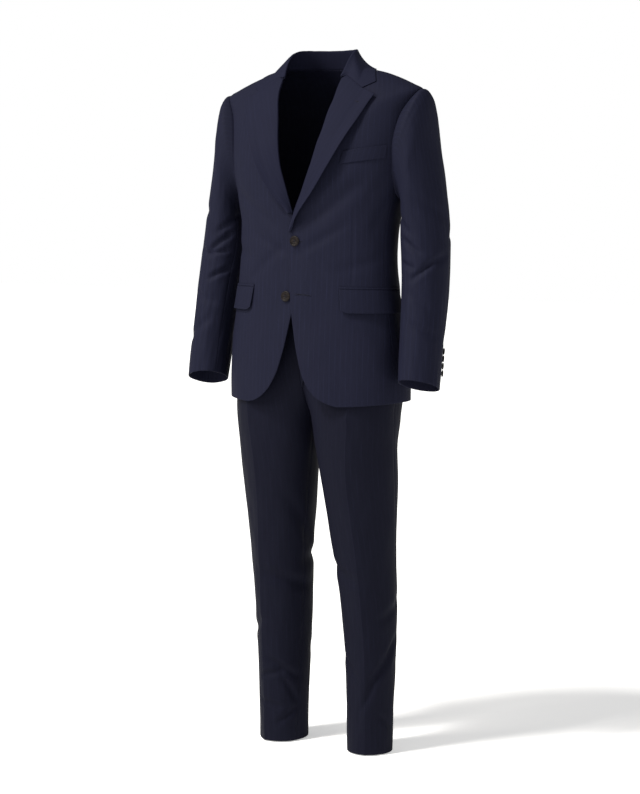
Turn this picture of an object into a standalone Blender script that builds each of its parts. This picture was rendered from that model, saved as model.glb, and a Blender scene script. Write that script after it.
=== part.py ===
"""Two-piece suit, worn form without its wearer: single-breasted jacket over tapered trousers.

Metres, +Z up, front towards -Y, the wearer's left towards +X.  Heights in the tables are
measured up from the trouser hems; every point is lowered by NECK_HEIGHT when its mesh is
made, so the origin lies in the neck opening, where the wearer's neck and shoulders hold it.
"""
import math

import bmesh
import bpy
import numpy as np
from mathutils import Matrix, Vector

# ---- driving dimensions -------------------------------------------------------------
NECK_HEIGHT = 1.440        # trouser hems up to the shoulder seams' inner ends
JACKET_CLOTH = 0.0020      # wall of the jacket panels
TROUSER_CLOTH = 0.0016     # wall of the trouser panels
TRIM_CLOTH = 0.0014        # wall of lapels, flaps, jets and welt
SEAM = 0.0003              # gap between pieces that are sewn to each other
LAP = 0.0023               # how far each front leaves the middle surface where they overlap
CRUMPLE = 1.0              # scale of every fold depth below

NAVY = (0.030, 0.031, 0.055)
NAVY_DARK = (0.022, 0.023, 0.042)
HORN = (0.022, 0.016, 0.014)

# ---- jacket body: one row a level, from the hem up over the shoulders to the neck ----
# level runs up the side, then in along the shoulder seam
TORSO_COLUMNS = ("level", "z_side", "z_front", "z_back", "half_width",
                 "y_front", "y_back", "y_side", "square", "point")
TORSO_ROWS = (
    (0.745, 0.752, 0.744, 0.750, 0.207, -0.148, 0.108, -0.021, 2.15, 0.000),   # hem
    (0.800, 0.804, 0.799, 0.803, 0.207, -0.147, 0.109, -0.022, 2.15, 0.000),
    (0.870, 0.872, 0.869, 0.871, 0.202, -0.144, 0.103, -0.024, 2.15, 0.000),   # seat
    (0.950, 0.950, 0.950, 0.950, 0.190, -0.138, 0.087, -0.027, 2.15, 0.000),
    (1.070, 1.070, 1.070, 1.070, 0.180, -0.130, 0.075, -0.026, 2.20, 0.000),   # waist
    (1.130, 1.130, 1.130, 1.130, 0.182, -0.129, 0.085, -0.019, 2.25, 0.000),
    (1.175, 1.175, 1.174, 1.175, 0.190, -0.130, 0.100, -0.011, 2.30, 0.000),   # underarm
    (1.235, 1.235, 1.230, 1.235, 0.203, -0.131, 0.117, -0.003, 2.35, 0.000),   # chest
    (1.300, 1.300, 1.283, 1.298, 0.208, -0.123, 0.123, 0.000, 2.40, 0.001),
    (1.360, 1.360, 1.315, 1.345, 0.206, -0.112, 0.120, 0.000, 2.40, 0.012),
    (1.402, 1.402, 1.338, 1.373, 0.201, -0.104, 0.114, 0.000, 2.35, 0.030),    # shoulder end
    (1.425, 1.413, 1.351, 1.389, 0.191, -0.100, 0.108, 0.000, 2.30, 0.018),
    (1.480, 1.434, 1.370, 1.422, 0.153, -0.093, 0.089, 0.000, 2.20, 0.003),
    (1.557, 1.450, 1.386, 1.448, 0.085, -0.088, 0.064, 0.000, 2.10, 0.000),    # neck seam
)
POINT_SPREAD = math.radians(26)    # how far round the shoulder point reaches
HEM, UNDERARM, SHOULDER, NECK = 0.745, 1.175, 1.402, 1.557
RIGHT_DROP = 0.007         # the wearer's right shoulder is carried this much lower
CUFF_DROP = 0.013          # and the right cuff hangs this much lower on its outer side

# the edge of a front: cutaway hem, button stand, then the roll line up to the neck
FRONT_EDGE_COLUMNS = ("level", "left", "right")
FRONT_EDGE_ROWS = (
    (0.745, 0.104, 0.116), (0.749, 0.090, 0.100), (0.757, 0.072, 0.083), (0.775, 0.049, 0.060),
    (0.797, 0.034, 0.044), (0.850, 0.016, 0.022), (0.897, 0.006, 0.010), (0.955, -0.0025, -0.001),
    (1.010, -0.0065, -0.008), (1.070, -0.0120, -0.0115), (1.110, -0.0100, -0.0070),
    (1.143, 0.001, 0.0055), (1.208, 0.0260, 0.0235), (1.255, 0.0412, 0.037), (1.330, 0.0540, 0.049),
    (1.402, 0.0620, 0.057), (1.480, 0.0710, 0.066), (1.557, 0.0730, 0.072),
)

# armhole: an ellipse in angle and level; side seams lie inside it
ARMHOLE_FRONT = math.radians(27)
ARMHOLE_BACK = math.radians(28)
FRONT_SEAM_HEM, FRONT_SEAM_TOP = math.radians(18), math.radians(15)
BACK_SEAM_HEM, BACK_SEAM_TOP = math.radians(29), math.radians(19)
VENT_TOP = 0.965           # top of the centre back vent
VENT_LAP = 0.030           # how far the left back runs under the vent past the centre

# ---- sleeves: one row a ring, armhole to cuff ------------------------------------------
# down is the way along the outside from the armhole; bow carries front and back towards the body
SLEEVE_COLUMNS = ("down", "x_out", "z_out", "x_in", "z_in", "y_mid", "front", "back", "tilt", "bow")
SLEEVE_ROWS = (
    (0.010, 0.2395, 1.4010, 0.1945, 1.168, 0.000, 0.0630, 0.0630, 0, 0.013),    # sleeve head
    (0.024, 0.2475, 1.3910, 0.1965, 1.161, 0.001, 0.0655, 0.0655, 0, 0.008),
    (0.045, 0.2525, 1.3700, 0.1980, 1.152, 0.002, 0.0675, 0.0675, 0, 0.004),
    (0.070, 0.2548, 1.3460, 0.1985, 1.144, 0.003, 0.0690, 0.0690, 0, 0.001),
    (0.115, 0.2590, 1.3000, 0.1975, 1.130, 0.005, 0.0700, 0.0700, 0, 0.000),
    (0.185, 0.2700, 1.2320, 0.1945, 1.110, 0.006, 0.0700, 0.0695, 0, 0.000),    # bicep
    (0.270, 0.2835, 1.1500, 0.1930, 1.081, 0.004, 0.0670, 0.0670, 1, 0.000),
    (0.342, 0.2920, 1.0780, 0.1965, 1.047, -0.003, 0.0630, 0.0635, 3, 0.000),
    (0.410, 0.2965, 1.0100, 0.2020, 1.002, -0.014, 0.0595, 0.0605, 7, 0.000),   # elbow
    (0.490, 0.2995, 0.9320, 0.2085, 0.932, -0.031, 0.0555, 0.0560, 11, 0.000),
    (0.562, 0.3000, 0.8620, 0.2130, 0.862, -0.047, 0.0520, 0.0520, 15, 0.000),
    (0.634, 0.3015, 0.7920, 0.2165, 0.792, -0.061, 0.0490, 0.0500, 19, 0.000),  # cuff
)
CUFF = 0.634
CUFF_PITCH = 0.0150        # from one cuff button to the next

# ---- trousers: one row a level, hem to waist -------------------------------------------
LEG_COLUMNS = ("z", "x", "y", "outer", "inner", "front", "back", "toe", "crease", "square")
LEG_ROWS = (
    (-0.012, 0.1085, 0.002, 0.0510, 0.0470, 0.048, 0.062, 19, -90, 2.05),   # hem
    (0.100, 0.1075, 0.006, 0.0535, 0.0490, 0.055, 0.060, 19, -90, 2.05),
    (0.200, 0.1065, 0.009, 0.0570, 0.0530, 0.062, 0.062, 18, -90, 2.05),
    (0.306, 0.1045, 0.007, 0.0620, 0.0590, 0.069, 0.063, 16, -90, 2.05),
    (0.426, 0.1015, -0.008, 0.0675, 0.0650, 0.070, 0.069, 14, -90, 2.05),   # knee
    (0.528, 0.0980, -0.019, 0.0760, 0.0740, 0.073, 0.079, 11, -90, 2.05),
    (0.600, 0.0970, -0.026, 0.0800, 0.0820, 0.077, 0.086, 8, -88, 2.10),
    (0.660, 0.0970, -0.032, 0.0845, 0.0905, 0.081, 0.094, 6, -84, 2.10),
    (0.705, 0.0975, -0.033, 0.0880, 0.0965, 0.083, 0.100, 4, -80, 2.15),
    (0.718, 0.0965, -0.033, 0.0895, 0.0980, 0.084, 0.102, 3, -79, 2.15),    # crotch
    (0.735, 0.0930, -0.031, 0.0935, 0.1005, 0.086, 0.105, 2, -75, 2.20),
    (0.770, 0.0800, -0.025, 0.1080, 0.1080, 0.091, 0.108, 0, -67, 2.20),
    (0.800, 0.0640, -0.020, 0.1240, 0.1160, 0.094, 0.108, 0, -60, 2.20),
    (0.870, 0.0300, -0.012, 0.1520, 0.1300, 0.100, 0.098, 0, -51, 2.20),    # seat
    (0.930, 0.0080, -0.012, 0.1600, 0.1400, 0.097, 0.082, 0, -45, 2.20),
    (0.965, 0.0000, -0.014, 0.1600, 0.1600, 0.092, 0.074, 0, -43, 2.20),
    (1.005, 0.0000, -0.018, 0.1560, 0.1560, 0.085, 0.070, 0, -42, 2.20),    # waist
)
WAIST_SEAM, WAIST_TOP = 0.965, 1.005
OUTSEAM = math.radians(-2)
FLY_LIFT = 0.0012          # the fly's back edge stands this far off the left front
CREASE_DEPTH = 0.0045      # how far the pressed crease stands out
CREASE_WIDTH = math.radians(38)

# ---- folds: centre (degrees round, height), slant, half length, half width, depth -------
FOLD_COLUMNS = ("angle", "height", "slant", "length", "width", "depth")
LEFT_SLEEVE_FOLDS = (
    (62, 1.085, 40, 0.045, 0.011, 0.0035),
    (55, 1.018, -38, 0.042, 0.012, 0.0040),
    (48, 0.902, 28, 0.045, 0.012, 0.0028),
    (100, 1.045, 12, 0.038, 0.010, 0.0035),
    (-70, 1.120, -30, 0.050, 0.014, 0.0030),
    (-95, 0.985, 22, 0.045, 0.013, 0.0032),
)
RIGHT_SLEEVE_FOLDS = (
    (120, 1.075, 42, 0.042, 0.011, 0.0040),
    (126, 1.020, 28, 0.040, 0.011, 0.0042),
    (88, 1.000, -20, 0.045, 0.012, 0.0030),
    (70, 0.900, 24, 0.045, 0.013, 0.0025),
    (-80, 1.100, 34, 0.050, 0.014, 0.0030),
)
LEFT_LEG_FOLDS = (
    (-60, 0.205, -52, 0.060, 0.013, 0.0032),
    (-128, 0.175, 35, 0.050, 0.013, 0.0028),
    (-140, 0.385, -22, 0.060, 0.018, 0.0035),
    (120, 0.400, 14, 0.070, 0.020, 0.0040),
    (80, 0.160, -18, 0.060, 0.016, 0.0032),
    (-70, 0.080, 24, 0.045, 0.012, 0.0025),
)
RIGHT_LEG_FOLDS = (
    (-125, 0.190, 40, 0.065, 0.014, 0.0040),
    (-75, 0.105, -24, 0.050, 0.013, 0.0030),
    (-150, 0.350, 18, 0.060, 0.018, 0.0045),
    (-120, 0.045, 30, 0.045, 0.012, 0.0030),
    (110, 0.410, -15, 0.070, 0.020, 0.0038),
    (75, 0.170, 20, 0.055, 0.016, 0.0030),
)
BODY_FOLDS = (
    (-70, 1.092, 32, 0.055, 0.013, 0.0025),
    (-64, 1.168, 40, 0.060, 0.017, 0.0034),
    (-112, 1.085, -28, 0.055, 0.013, 0.0025),
    (-40, 1.040, 14, 0.060, 0.016, 0.0020),
    (60, 1.095, -8, 0.075, 0.020, 0.0035),
    (118, 1.100, 10, 0.070, 0.020, 0.0035),
)


# ---- curves and surfaces ----------------------------------------------------------------
def table(columns, rows):
    """Columns of a table by name."""
    return {name: np.array([row[k] for row in rows], float) for k, name in enumerate(columns)}


def spline(knots, values, at):
    """Smooth curve through (knots, values), each slope taken from the neighbouring rows."""
    at = np.clip(at, knots[0], knots[-1])
    slope = np.gradient(values, knots)
    k = np.clip(np.searchsorted(knots, at, side="right") - 1, 0, len(knots) - 2)
    span = knots[k + 1] - knots[k]
    s = (at - knots[k]) / span
    start = (1 + 2 * s) * (1 - s) ** 2 * values[k] + s * (1 - s) ** 2 * span * slope[k]
    end = (3 - 2 * s) * s ** 2 * values[k + 1] - (1 - s) * s ** 2 * span * slope[k + 1]
    return start + end


def ease(low, high, value):
    """0 below low, 1 above high, smooth between."""
    s = np.clip((value - low) / (high - low), 0, 1)
    return s * s * (3 - 2 * s)


def unit(vectors):
    """Vectors of length one."""
    return vectors / np.linalg.norm(vectors, axis=-1, keepdims=True)


def oval(angle, right, left, front, back, square):
    """Superellipse with four half axes, as x and y about its centre, and the sine part."""
    c, s = np.cos(angle), np.sin(angle)
    r = (np.abs(c) ** square + np.abs(s) ** square) ** (-1 / square)
    x = np.where(c > 0, right, left) * c * r
    y = np.where(s > 0, back, front) * s * r
    return x, y, s * r


def folded(angle, height, radius, folds):
    """Depth of the soft troughs in a table of folds, at an angle and height of a tube."""
    fold = table(FOLD_COLUMNS, folds)
    total = np.zeros(np.broadcast(angle, height).shape)
    for k in range(len(folds)):
        turn = (angle - math.radians(fold["angle"][k]) + math.pi) % (2 * math.pi) - math.pi
        around, rise = turn * radius, height - fold["height"][k]
        slant = math.radians(fold["slant"][k])
        along = around * math.cos(slant) + rise * math.sin(slant)
        across = rise * math.cos(slant) - around * math.sin(slant)
        q = (across / fold["width"][k]) ** 2
        fade = np.exp(-(along / fold["length"][k]) ** 4)
        total += fold["depth"][k] * (1 - 0.8 * q) * np.exp(-q) * fade
    return CRUMPLE * total


def normals(surface, angle, level):
    """Outward normals of surface(angle, level) by small steps."""
    step = 1e-4
    across = surface(angle + step, level) - surface(angle - step, level)
    up = surface(angle, level + step) - surface(angle, level - step)
    return unit(np.cross(across, up))


TORSO = table(TORSO_COLUMNS, TORSO_ROWS)
FRONT_EDGE = table(FRONT_EDGE_COLUMNS, FRONT_EDGE_ROWS)
SLEEVE = table(SLEEVE_COLUMNS, SLEEVE_ROWS)
LEG = table(LEG_COLUMNS, LEG_ROWS)
BODY_RADIUS, SLEEVE_RADIUS, LEG_RADIUS = 0.16, 0.055, 0.06


def torso(angle, level):
    """Jacket body: angle 0 at the wearer's left side, -90 degrees in front, 90 behind."""
    row = {name: spline(TORSO["level"], TORSO[name], level) for name in TORSO_COLUMNS[1:]}
    front, back = row["y_side"] - row["y_front"], row["y_back"] - row["y_side"]
    x, y, s = oval(angle, row["half_width"], row["half_width"], front, back, row["square"])
    x = x + row["point"] * np.exp(-(angle / POINT_SPREAD) ** 2)
    rise = np.where(s > 0, row["z_back"], row["z_front"]) - row["z_side"]
    return np.stack([x, row["y_side"] + y, row["z_side"] + rise * s ** 2], axis=-1)


def body(angle, level, lift=0.0):
    """Jacket body with its folds, moved out by lift; returns points and normals."""
    angle, level = np.broadcast_arrays(np.asarray(angle, float), np.asarray(level, float))
    normal = normals(torso, angle, np.clip(level, HEM + 2e-4, NECK - 2e-4))
    out = lift - folded(angle, level, BODY_RADIUS, BODY_FOLDS)
    return torso(angle, level) + normal * np.asarray(out)[..., None], normal


def front_angle(x, level):
    """Angle at which the body's front has this x (positive on the wearer's left)."""
    low = np.full(np.broadcast(x, level).shape, -math.pi * 0.75)
    high = np.zeros_like(low)
    for _ in range(24):
        middle = (low + high) / 2
        beyond = torso(middle, level)[..., 0] > x
        high, low = np.where(beyond, middle, high), np.where(beyond, low, middle)
    return (low + high) / 2


def front_level(x, z):
    """Level at which the body's front reaches the point x, z (heights from the hems)."""
    x, z = np.broadcast_arrays(np.asarray(x, float), np.asarray(z, float))
    low, high = np.full(x.shape, HEM), np.full(x.shape, NECK)
    for _ in range(24):
        middle = (low + high) / 2
        above = torso(front_angle(x, middle), middle)[..., 2] > z
        high, low = np.where(above, middle, high), np.where(above, low, middle)
    return (low + high) / 2


def on_front(x, z, lift):
    """Points and normals lying on the left front at x, z, moved out by lift."""
    level = front_level(x, z)
    return body(front_angle(x, level), level, lift)


def side_angle(share, hem, top):
    """Angle of a side seam at a share of the way from the hem up to the armhole."""
    return hem + (top - hem) * share


def armhole_point(turn):
    """Angle and level of the armhole; turn 0 at the shoulder, 90 degrees in front."""
    middle, half = (SHOULDER + UNDERARM) / 2, (SHOULDER - UNDERARM) / 2
    reach = np.where(np.sin(turn) > 0, -ARMHOLE_FRONT, -ARMHOLE_BACK)
    return reach * np.sin(turn), middle + half * np.cos(turn)


# turns of the armhole at which panels and sleeve share their points
FRONT_TURN = math.pi - math.asin(FRONT_SEAM_TOP / ARMHOLE_FRONT)
BACK_TURN = math.pi + math.asin(BACK_SEAM_TOP / ARMHOLE_BACK)
# shares of the way up the side seams at which neighbouring panels have their rows
SEAM_SHARES = np.array([0, 0.12, 0.27, 0.42, 0.57, 0.70, 0.82, 0.92, 1.0])
CUTAWAY_SHARES = np.array([0.009, 0.027, 0.067])
FRONT_TURNS = np.linspace(0, FRONT_TURN, 9)
LOW_TURNS = np.linspace(FRONT_TURN, BACK_TURN, 5)
BACK_TURNS = np.linspace(BACK_TURN, 2 * math.pi, 9)
SLEEVE_TURNS = np.concatenate([FRONT_TURNS, LOW_TURNS[1:], BACK_TURNS[1:]])
FRONT_SLEEVE_SEAM, BACK_SLEEVE_SEAM = 8, 17


def sleeve(turns, stations, folds):
    """Sleeve face: turn 0 at the top or outside, 90 degrees in front; stations run down it."""
    angle, level = armhole_point(turns)
    start = torso(angle, level)
    rings = [start]
    for k in range(len(SLEEVE_ROWS)):
        row = {name: SLEEVE[name][k] for name in SLEEVE_COLUMNS}
        tilt, c, s = math.radians(row["tilt"]), np.cos(turns), np.sin(turns)
        reach = np.where(s > 0, row["front"], row["back"]) * s
        x = (row["x_out"] + row["x_in"]) / 2 + (row["x_out"] - row["x_in"]) / 2 * c - row["bow"] * s ** 2
        z = (row["z_out"] + row["z_in"]) / 2 + (row["z_out"] - row["z_in"]) / 2 * c
        rings.append(np.stack([x, row["y_mid"] - reach * math.cos(tilt),
                               z + reach * math.sin(tilt)], axis=-1))
    rings = np.array(rings)
    knots = np.concatenate([[0], SLEEVE["down"]])
    face = np.empty((len(turns), len(stations), 3))
    for i in range(len(turns)):
        for axis in range(3):
            face[i, :, axis] = spline(knots, rings[:, i, axis], stations)
    return push_folds(face, turns, folds, SLEEVE_RADIUS, closed=True)


def push_folds(face, turns, folds, radius, closed):
    """Sink a tube's folds into it along its own normals; returns face and normals."""
    normal = grid_normals(face, closed)
    depth = folded(turns[:, None], face[..., 2], radius, folds)
    return face - normal * depth[..., None], normal


def grid_normals(face, closed=False):
    """Normals of a grid of points, first index round, second index along."""
    if closed:
        loop = np.concatenate([face[-2:-1], face, face[1:2]])
        across = (loop[2:] - loop[:-2])
    else:
        across = np.gradient(face, axis=0)
    return unit(np.cross(across, np.gradient(face, axis=1)))


def leg(angle, z):
    """Left trouser leg; angle 0 outside, -90 degrees in front, in the leg's own turned frame."""
    row = {name: spline(LEG["z"], LEG[name], z) for name in LEG_COLUMNS[1:]}
    turned = (angle + math.pi) % (2 * math.pi) - math.pi
    gap = np.abs(np.abs(turned) + np.radians(row["crease"]))
    press = 1 - np.where(turned < 0, ease(0.80, 0.95, z), ease(0.60, 0.75, z))
    sharp = np.clip(1 - gap / CREASE_WIDTH, 0, 1) ** 2
    x, y, s = oval(angle, row["outer"], row["inner"], row["front"], row["back"], row["square"])
    grow = 1 + CREASE_DEPTH * press * sharp / LEG_RADIUS
    toe = np.radians(row["toe"])
    x, y = x * grow, y * grow
    return np.stack([row["x"] + x * np.cos(toe) - y * np.sin(toe),
                     row["y"] + x * np.sin(toe) + y * np.cos(toe), z + 0 * x], axis=-1)


def inner_angle(z, side):
    """Angle at which a leg ends: its inseam, or the centre seam above the crotch."""
    z = np.asarray(z, float)
    low, high = np.full(z.shape, math.pi / 2), np.full(z.shape, math.pi)
    for _ in range(24):
        middle = (low + high) / 2
        inside = leg(side * middle, z)[..., 0] > 0
        low, high = np.where(inside, middle, low), np.where(inside, high, middle)
    return side * low


# ---- meshes ------------------------------------------------------------------------------
def material(name, colour, roughness):
    """Plain material for one object."""
    made = bpy.data.materials.new(name)
    made.use_nodes = True
    shader = made.node_tree.nodes["Principled BSDF"]
    shader.inputs["Base Color"].default_value = (*colour, 1)
    shader.inputs["Roughness"].default_value = roughness
    return made


def add_object(name, mesh, colour, roughness):
    """Put a finished bmesh into its own collection as one object."""
    bmesh.ops.recalc_face_normals(mesh, faces=mesh.faces)
    data = bpy.data.meshes.new(name)
    mesh.to_mesh(data)
    mesh.free()
    data.materials.append(material(name, colour, roughness))
    collection = bpy.data.collections.new(name)
    bpy.context.scene.collection.children.link(collection)
    collection.objects.link(bpy.data.objects.new(name, data))


def draw_in(face, distance=SEAM / 2):
    """Move a grid's border towards its neighbours, so that pieces keep a gap at their seams."""
    moved = face.copy()
    for a, b in ((0, 1), (-1, -2)):
        moved[a] += off_line(face[b] - face[a], np.gradient(face[a], axis=0)) * distance
        moved[:, a] += off_line(face[:, b] - face[:, a], np.gradient(face[:, a], axis=0)) * distance
    return moved


def off_line(way, line):
    """Directions with their share along a line taken out."""
    line = unit(line)
    return unit(way - line * (way * line).sum(axis=-1, keepdims=True))


def settle(points):
    """Carry the wearer's right shoulder lower, sleeve head and all."""
    drop = RIGHT_DROP * ease(0.05, 0.19, -points[..., 0]) * ease(1.10, 1.36, points[..., 2])
    drop = drop + CUFF_DROP * ease(0.212, 0.305, -points[..., 0]) * (1 - ease(0.86, 1.06, points[..., 2]))
    return points - np.stack([0 * drop, 0 * drop, drop], axis=-1)


def shell(name, outer, inner, colour=NAVY, mirror=False, roughness=0.9):
    """Closed wall between two grids of the same size."""
    size_i, size_j = outer.shape[:2]
    points = np.concatenate([outer.reshape(-1, 3), inner.reshape(-1, 3)])
    points = settle(points * (-1 if mirror else 1, 1, 1)) - (0, 0, NECK_HEIGHT)
    index = np.arange(size_i * size_j).reshape(size_i, size_j)
    under = index + size_i * size_j
    rim = np.concatenate([index[:, 0], index[-1, 1:], index[-2::-1, -1], index[0, -2:0:-1]])
    rim_under = rim + size_i * size_j
    mesh = bmesh.new()
    verts = [mesh.verts.new(p) for p in points]
    for i in range(size_i - 1):
        for j in range(size_j - 1):
            for side, turn in ((index, 1), (under, -1)):
                corners = (side[i, j], side[i + 1, j], side[i + 1, j + 1], side[i, j + 1])
                mesh.faces.new([verts[k] for k in corners[::turn]])
    for k in range(len(rim)):
        n = (k + 1) % len(rim)
        mesh.faces.new([verts[rim[n]], verts[rim[k]], verts[rim_under[k]], verts[rim_under[n]]])
    add_object(name, mesh, colour, roughness)


def wall(name, face, normal, thickness, colour=NAVY, mirror=False, gap=SEAM / 2):
    """Cloth panel: its outer face drawn in at the seams, and a parallel inner face."""
    face = draw_in(face, gap)
    shell(name, face, face - normal * thickness, colour, mirror)


def side_name(base, mirror):
    """Name of a piece on the wearer's left or right."""
    return f"{base}_{'right' if mirror else 'left'}"


# ---- jacket ------------------------------------------------------------------------------
def lap_lift(x, level, mirror):
    """How far a front leaves the middle surface where the left laps over the right."""
    near = (1 - ease(0.02, 0.07, np.abs(x))) * ease(0.90, 0.96, level) * (1 - ease(1.145, 1.20, level))
    return (-LAP if mirror else LAP) * near


def front_levels():
    """Levels of a front's rows, and the shares of its side seam that they start with."""
    shares = np.sort(np.concatenate([SEAM_SHARES[:-1], CUTAWAY_SHARES]))
    crossing = armhole_point(FRONT_TURNS)[1][::-1]
    low = HEM + (crossing[0] - HEM) * shares
    high = np.sort(np.append(np.linspace(SHOULDER, NECK, 6)[1:], front_level(*GORGE_START)))
    return np.concatenate([low, crossing, high]), shares, high


def jacket_front(mirror):
    """Front panel from side seam and armhole to the front edge and roll line."""
    levels, shares, high = front_levels()
    seam = -side_angle(shares, FRONT_SEAM_HEM, FRONT_SEAM_TOP)
    outer_edge = np.concatenate([seam, armhole_point(FRONT_TURNS)[0][::-1], np.zeros(len(high))])
    edge = spline(FRONT_EDGE["level"], FRONT_EDGE["right" if mirror else "left"], levels)
    inner_edge = front_angle(edge, levels)
    across = np.linspace(0, 1, 11)[:, None]
    angle = inner_edge * (1 - across) + outer_edge * across
    level = np.broadcast_to(levels, angle.shape)
    lift = lap_lift(torso(angle, level)[..., 0], level, mirror)
    face, normal = body(angle, level, lift)
    wall(side_name("jacket_front", mirror), face, normal, JACKET_CLOTH, mirror=mirror)


def jacket_side(mirror):
    """Side panel under the arm."""
    top_angle, top_level = armhole_point(LOW_TURNS)
    shares = SEAM_SHARES[None, :]
    level = HEM + (top_level[:, None] - HEM) * shares
    front = -side_angle(shares, FRONT_SEAM_HEM, FRONT_SEAM_TOP)
    back = side_angle(shares, BACK_SEAM_HEM, BACK_SEAM_TOP)
    angle = front + (back - front) * (top_angle - top_angle[0])[:, None] / (top_angle[-1] - top_angle[0])
    face, normal = body(angle, level)
    wall(side_name("jacket_side", mirror), face[::-1], normal[::-1], JACKET_CLOTH, mirror=mirror)


def jacket_back(mirror):
    """Back panel to the centre seam; the left one laps over the right at the vent."""
    top = armhole_point(BACK_TURNS)[1]
    low = HEM + (top[0] - HEM) * SEAM_SHARES[:-1]
    levels = np.concatenate([low, top, np.linspace(SHOULDER, NECK, 6)[1:]])
    seam = side_angle(SEAM_SHARES[:-1], BACK_SEAM_HEM, BACK_SEAM_TOP)
    outer_edge = np.concatenate([seam, armhole_point(BACK_TURNS)[0], np.zeros(5)])
    across = np.linspace(0, 1, 10)[:, None]
    lap = VENT_LAP / BODY_RADIUS * (1 - ease(VENT_TOP - 0.03, VENT_TOP, levels))
    angle = outer_edge * (1 - across) + (math.pi / 2 + lap) * across
    level = np.broadcast_to(levels, angle.shape)
    near = ease(math.pi / 2 - 0.45, math.pi / 2 - 0.20, angle)
    near = near * (1 - ease(VENT_TOP + 0.03, VENT_TOP + 0.08, level))
    face, normal = body(angle, level, (-LAP if mirror else LAP) * near)
    wall(side_name("jacket_back", mirror), face[::-1], normal[::-1], JACKET_CLOTH, mirror=mirror)


def jacket_sleeve(mirror):
    """Two-piece sleeve: top sleeve over the outside and front, under sleeve inside and behind."""
    stations = np.concatenate([[0, 0.010, 0.022, 0.038, 0.060, 0.090, 0.130], np.linspace(0.175, CUFF, 12)])
    folds = RIGHT_SLEEVE_FOLDS if mirror else LEFT_SLEEVE_FOLDS
    face, normal = sleeve(SLEEVE_TURNS, stations, folds)
    last = len(SLEEVE_TURNS) - 1
    top = list(range(BACK_SLEEVE_SEAM, last)) + list(range(0, FRONT_SLEEVE_SEAM + 1))
    under = list(range(FRONT_SLEEVE_SEAM, BACK_SLEEVE_SEAM + 1))
    for base, columns in (("sleeve_top", top), ("sleeve_under", under)):
        wall(side_name(base, mirror), face[columns], normal[columns], JACKET_CLOTH, mirror=mirror,
             gap=1.2 * SEAM)


# lapel: outer edge of the lapel, height against x; its top edge is the gorge seam
LAPEL_EDGE_COLUMNS = ("z", "x")
LAPEL_EDGE_ROWS = (
    (1.104, -0.006), (1.141, 0.014), (1.192, 0.050), (1.235, 0.078), (1.290, 0.107),
    (1.340, 0.132), (1.388, 0.156),
)
GORGE_START = (0.078, 1.4315)    # x, z where the gorge seam meets the roll line
NOTCH = (0.125, 1.403)
LAPEL_TIP = (0.156, 1.388)
COLLAR_TIP = (0.148, 1.4165)
LAPEL_EDGE = table(LAPEL_EDGE_COLUMNS, LAPEL_EDGE_ROWS)
ROLL_INSIDE = JACKET_CLOTH / 2 + SEAM      # inner radius of the fold round the front's edge
LAPEL_LIFT = TRIM_CLOTH / 2 + 0.0009       # middle of the lapel's cloth above the chest
ROLL_BULGE = 0.0048                        # how far the lapel's roll stands off the chest
EDGE_SPRING = 0.0045                       # and its outer edge, in the lower half


def roll_point(level, mirror):
    """Front edge at a level: its outer point, normal and the way out of the panel."""
    x = spline(FRONT_EDGE["level"], FRONT_EDGE["right" if mirror else "left"], level)
    angle = front_angle(x, level)
    edge, normal = body(angle, level, lap_lift(x, level, mirror))
    towards = unit(torso(angle - 0.004, level) - torso(angle + 0.004, level))
    return edge, normal, towards


def gorge_line(share):
    """x and z along the lapel's top edge, from the roll line to its tip."""
    marks = np.array([0, 0.62, 1])
    return (np.interp(share, marks, [GORGE_START[0], NOTCH[0], LAPEL_TIP[0]]),
            np.interp(share, marks, [GORGE_START[1], NOTCH[1], LAPEL_TIP[1]]))


def lapel(mirror):
    """Lapel folded over the front's edge along the roll line and lying on the chest."""
    start = 1.152 if mirror else 1.108
    hook = np.radians([-90, -90, -45, 0, 45, 90])
    shares = np.linspace(0, 1, 8)[1:]
    middle = ROLL_INSIDE + TRIM_CLOTH / 2
    columns = []
    top_level = front_level(*GORGE_START)
    rows = front_levels()[0]
    rows = rows[(rows > start + 0.004) & (rows < top_level - 0.004)]
    levels = np.concatenate([[start], rows, [top_level]])
    rise = (levels - start) / (top_level - start)
    edge, normal, towards = roll_point(levels, mirror)
    core = edge - normal * JACKET_CLOTH / 2
    for k, turn in enumerate(hook):
        leg_in = -towards * 0.005 if k == 0 else 0
        columns.append(core + middle * (np.sin(turn) * normal + np.cos(turn) * towards) + leg_in)
    top_x, top_z = gorge_line(shares)
    for share, x_top, z_top in zip(shares, top_x, top_z):
        z = edge[:, 2] + (z_top - edge[-1, 2]) * rise ** 2
        x = edge[:, 0] + (spline(LAPEL_EDGE["z"], LAPEL_EDGE["x"], z) - edge[:, 0]) * share
        x = x + (x_top - x[-1]) * rise ** 4
        bulge = ROLL_BULGE * math.sin(math.pi * min(share, 0.93)) * (1 - 0.75 * rise)
        spring = EDGE_SPRING * share ** 2 * ease(0.0, 0.10, rise) * (1 - ease(0.30, 0.85, rise))
        lift = LAPEL_LIFT + bulge + spring + lap_lift(x, z, mirror)
        columns.append(on_front(x, z, lift)[0])
    face = np.array(columns)
    normal = grid_normals(face)
    shell(side_name("lapel", mirror), draw_in(face) + normal * TRIM_CLOTH / 2,
          draw_in(face) - normal * TRIM_CLOTH / 2, NAVY, mirror)


# collar: angle round the neck seam, height of the stand, and the fall's edge on the body
COLLAR_COLUMNS = ("angle", "stand", "edge_angle", "edge_level")
COLLAR_ROWS = (
    (90, 0.040, 90, 1.530), (55, 0.040, 55, 1.528), (25, 0.039, 25, 1.524),
    (3, 0.035, 6, 1.518), (-17, 0.024, -6, 1.505), (-37, 0.003, -19, 1.478),
)
COLLAR_LEAN = 0.42         # how far the stand leans in towards the neck


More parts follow.
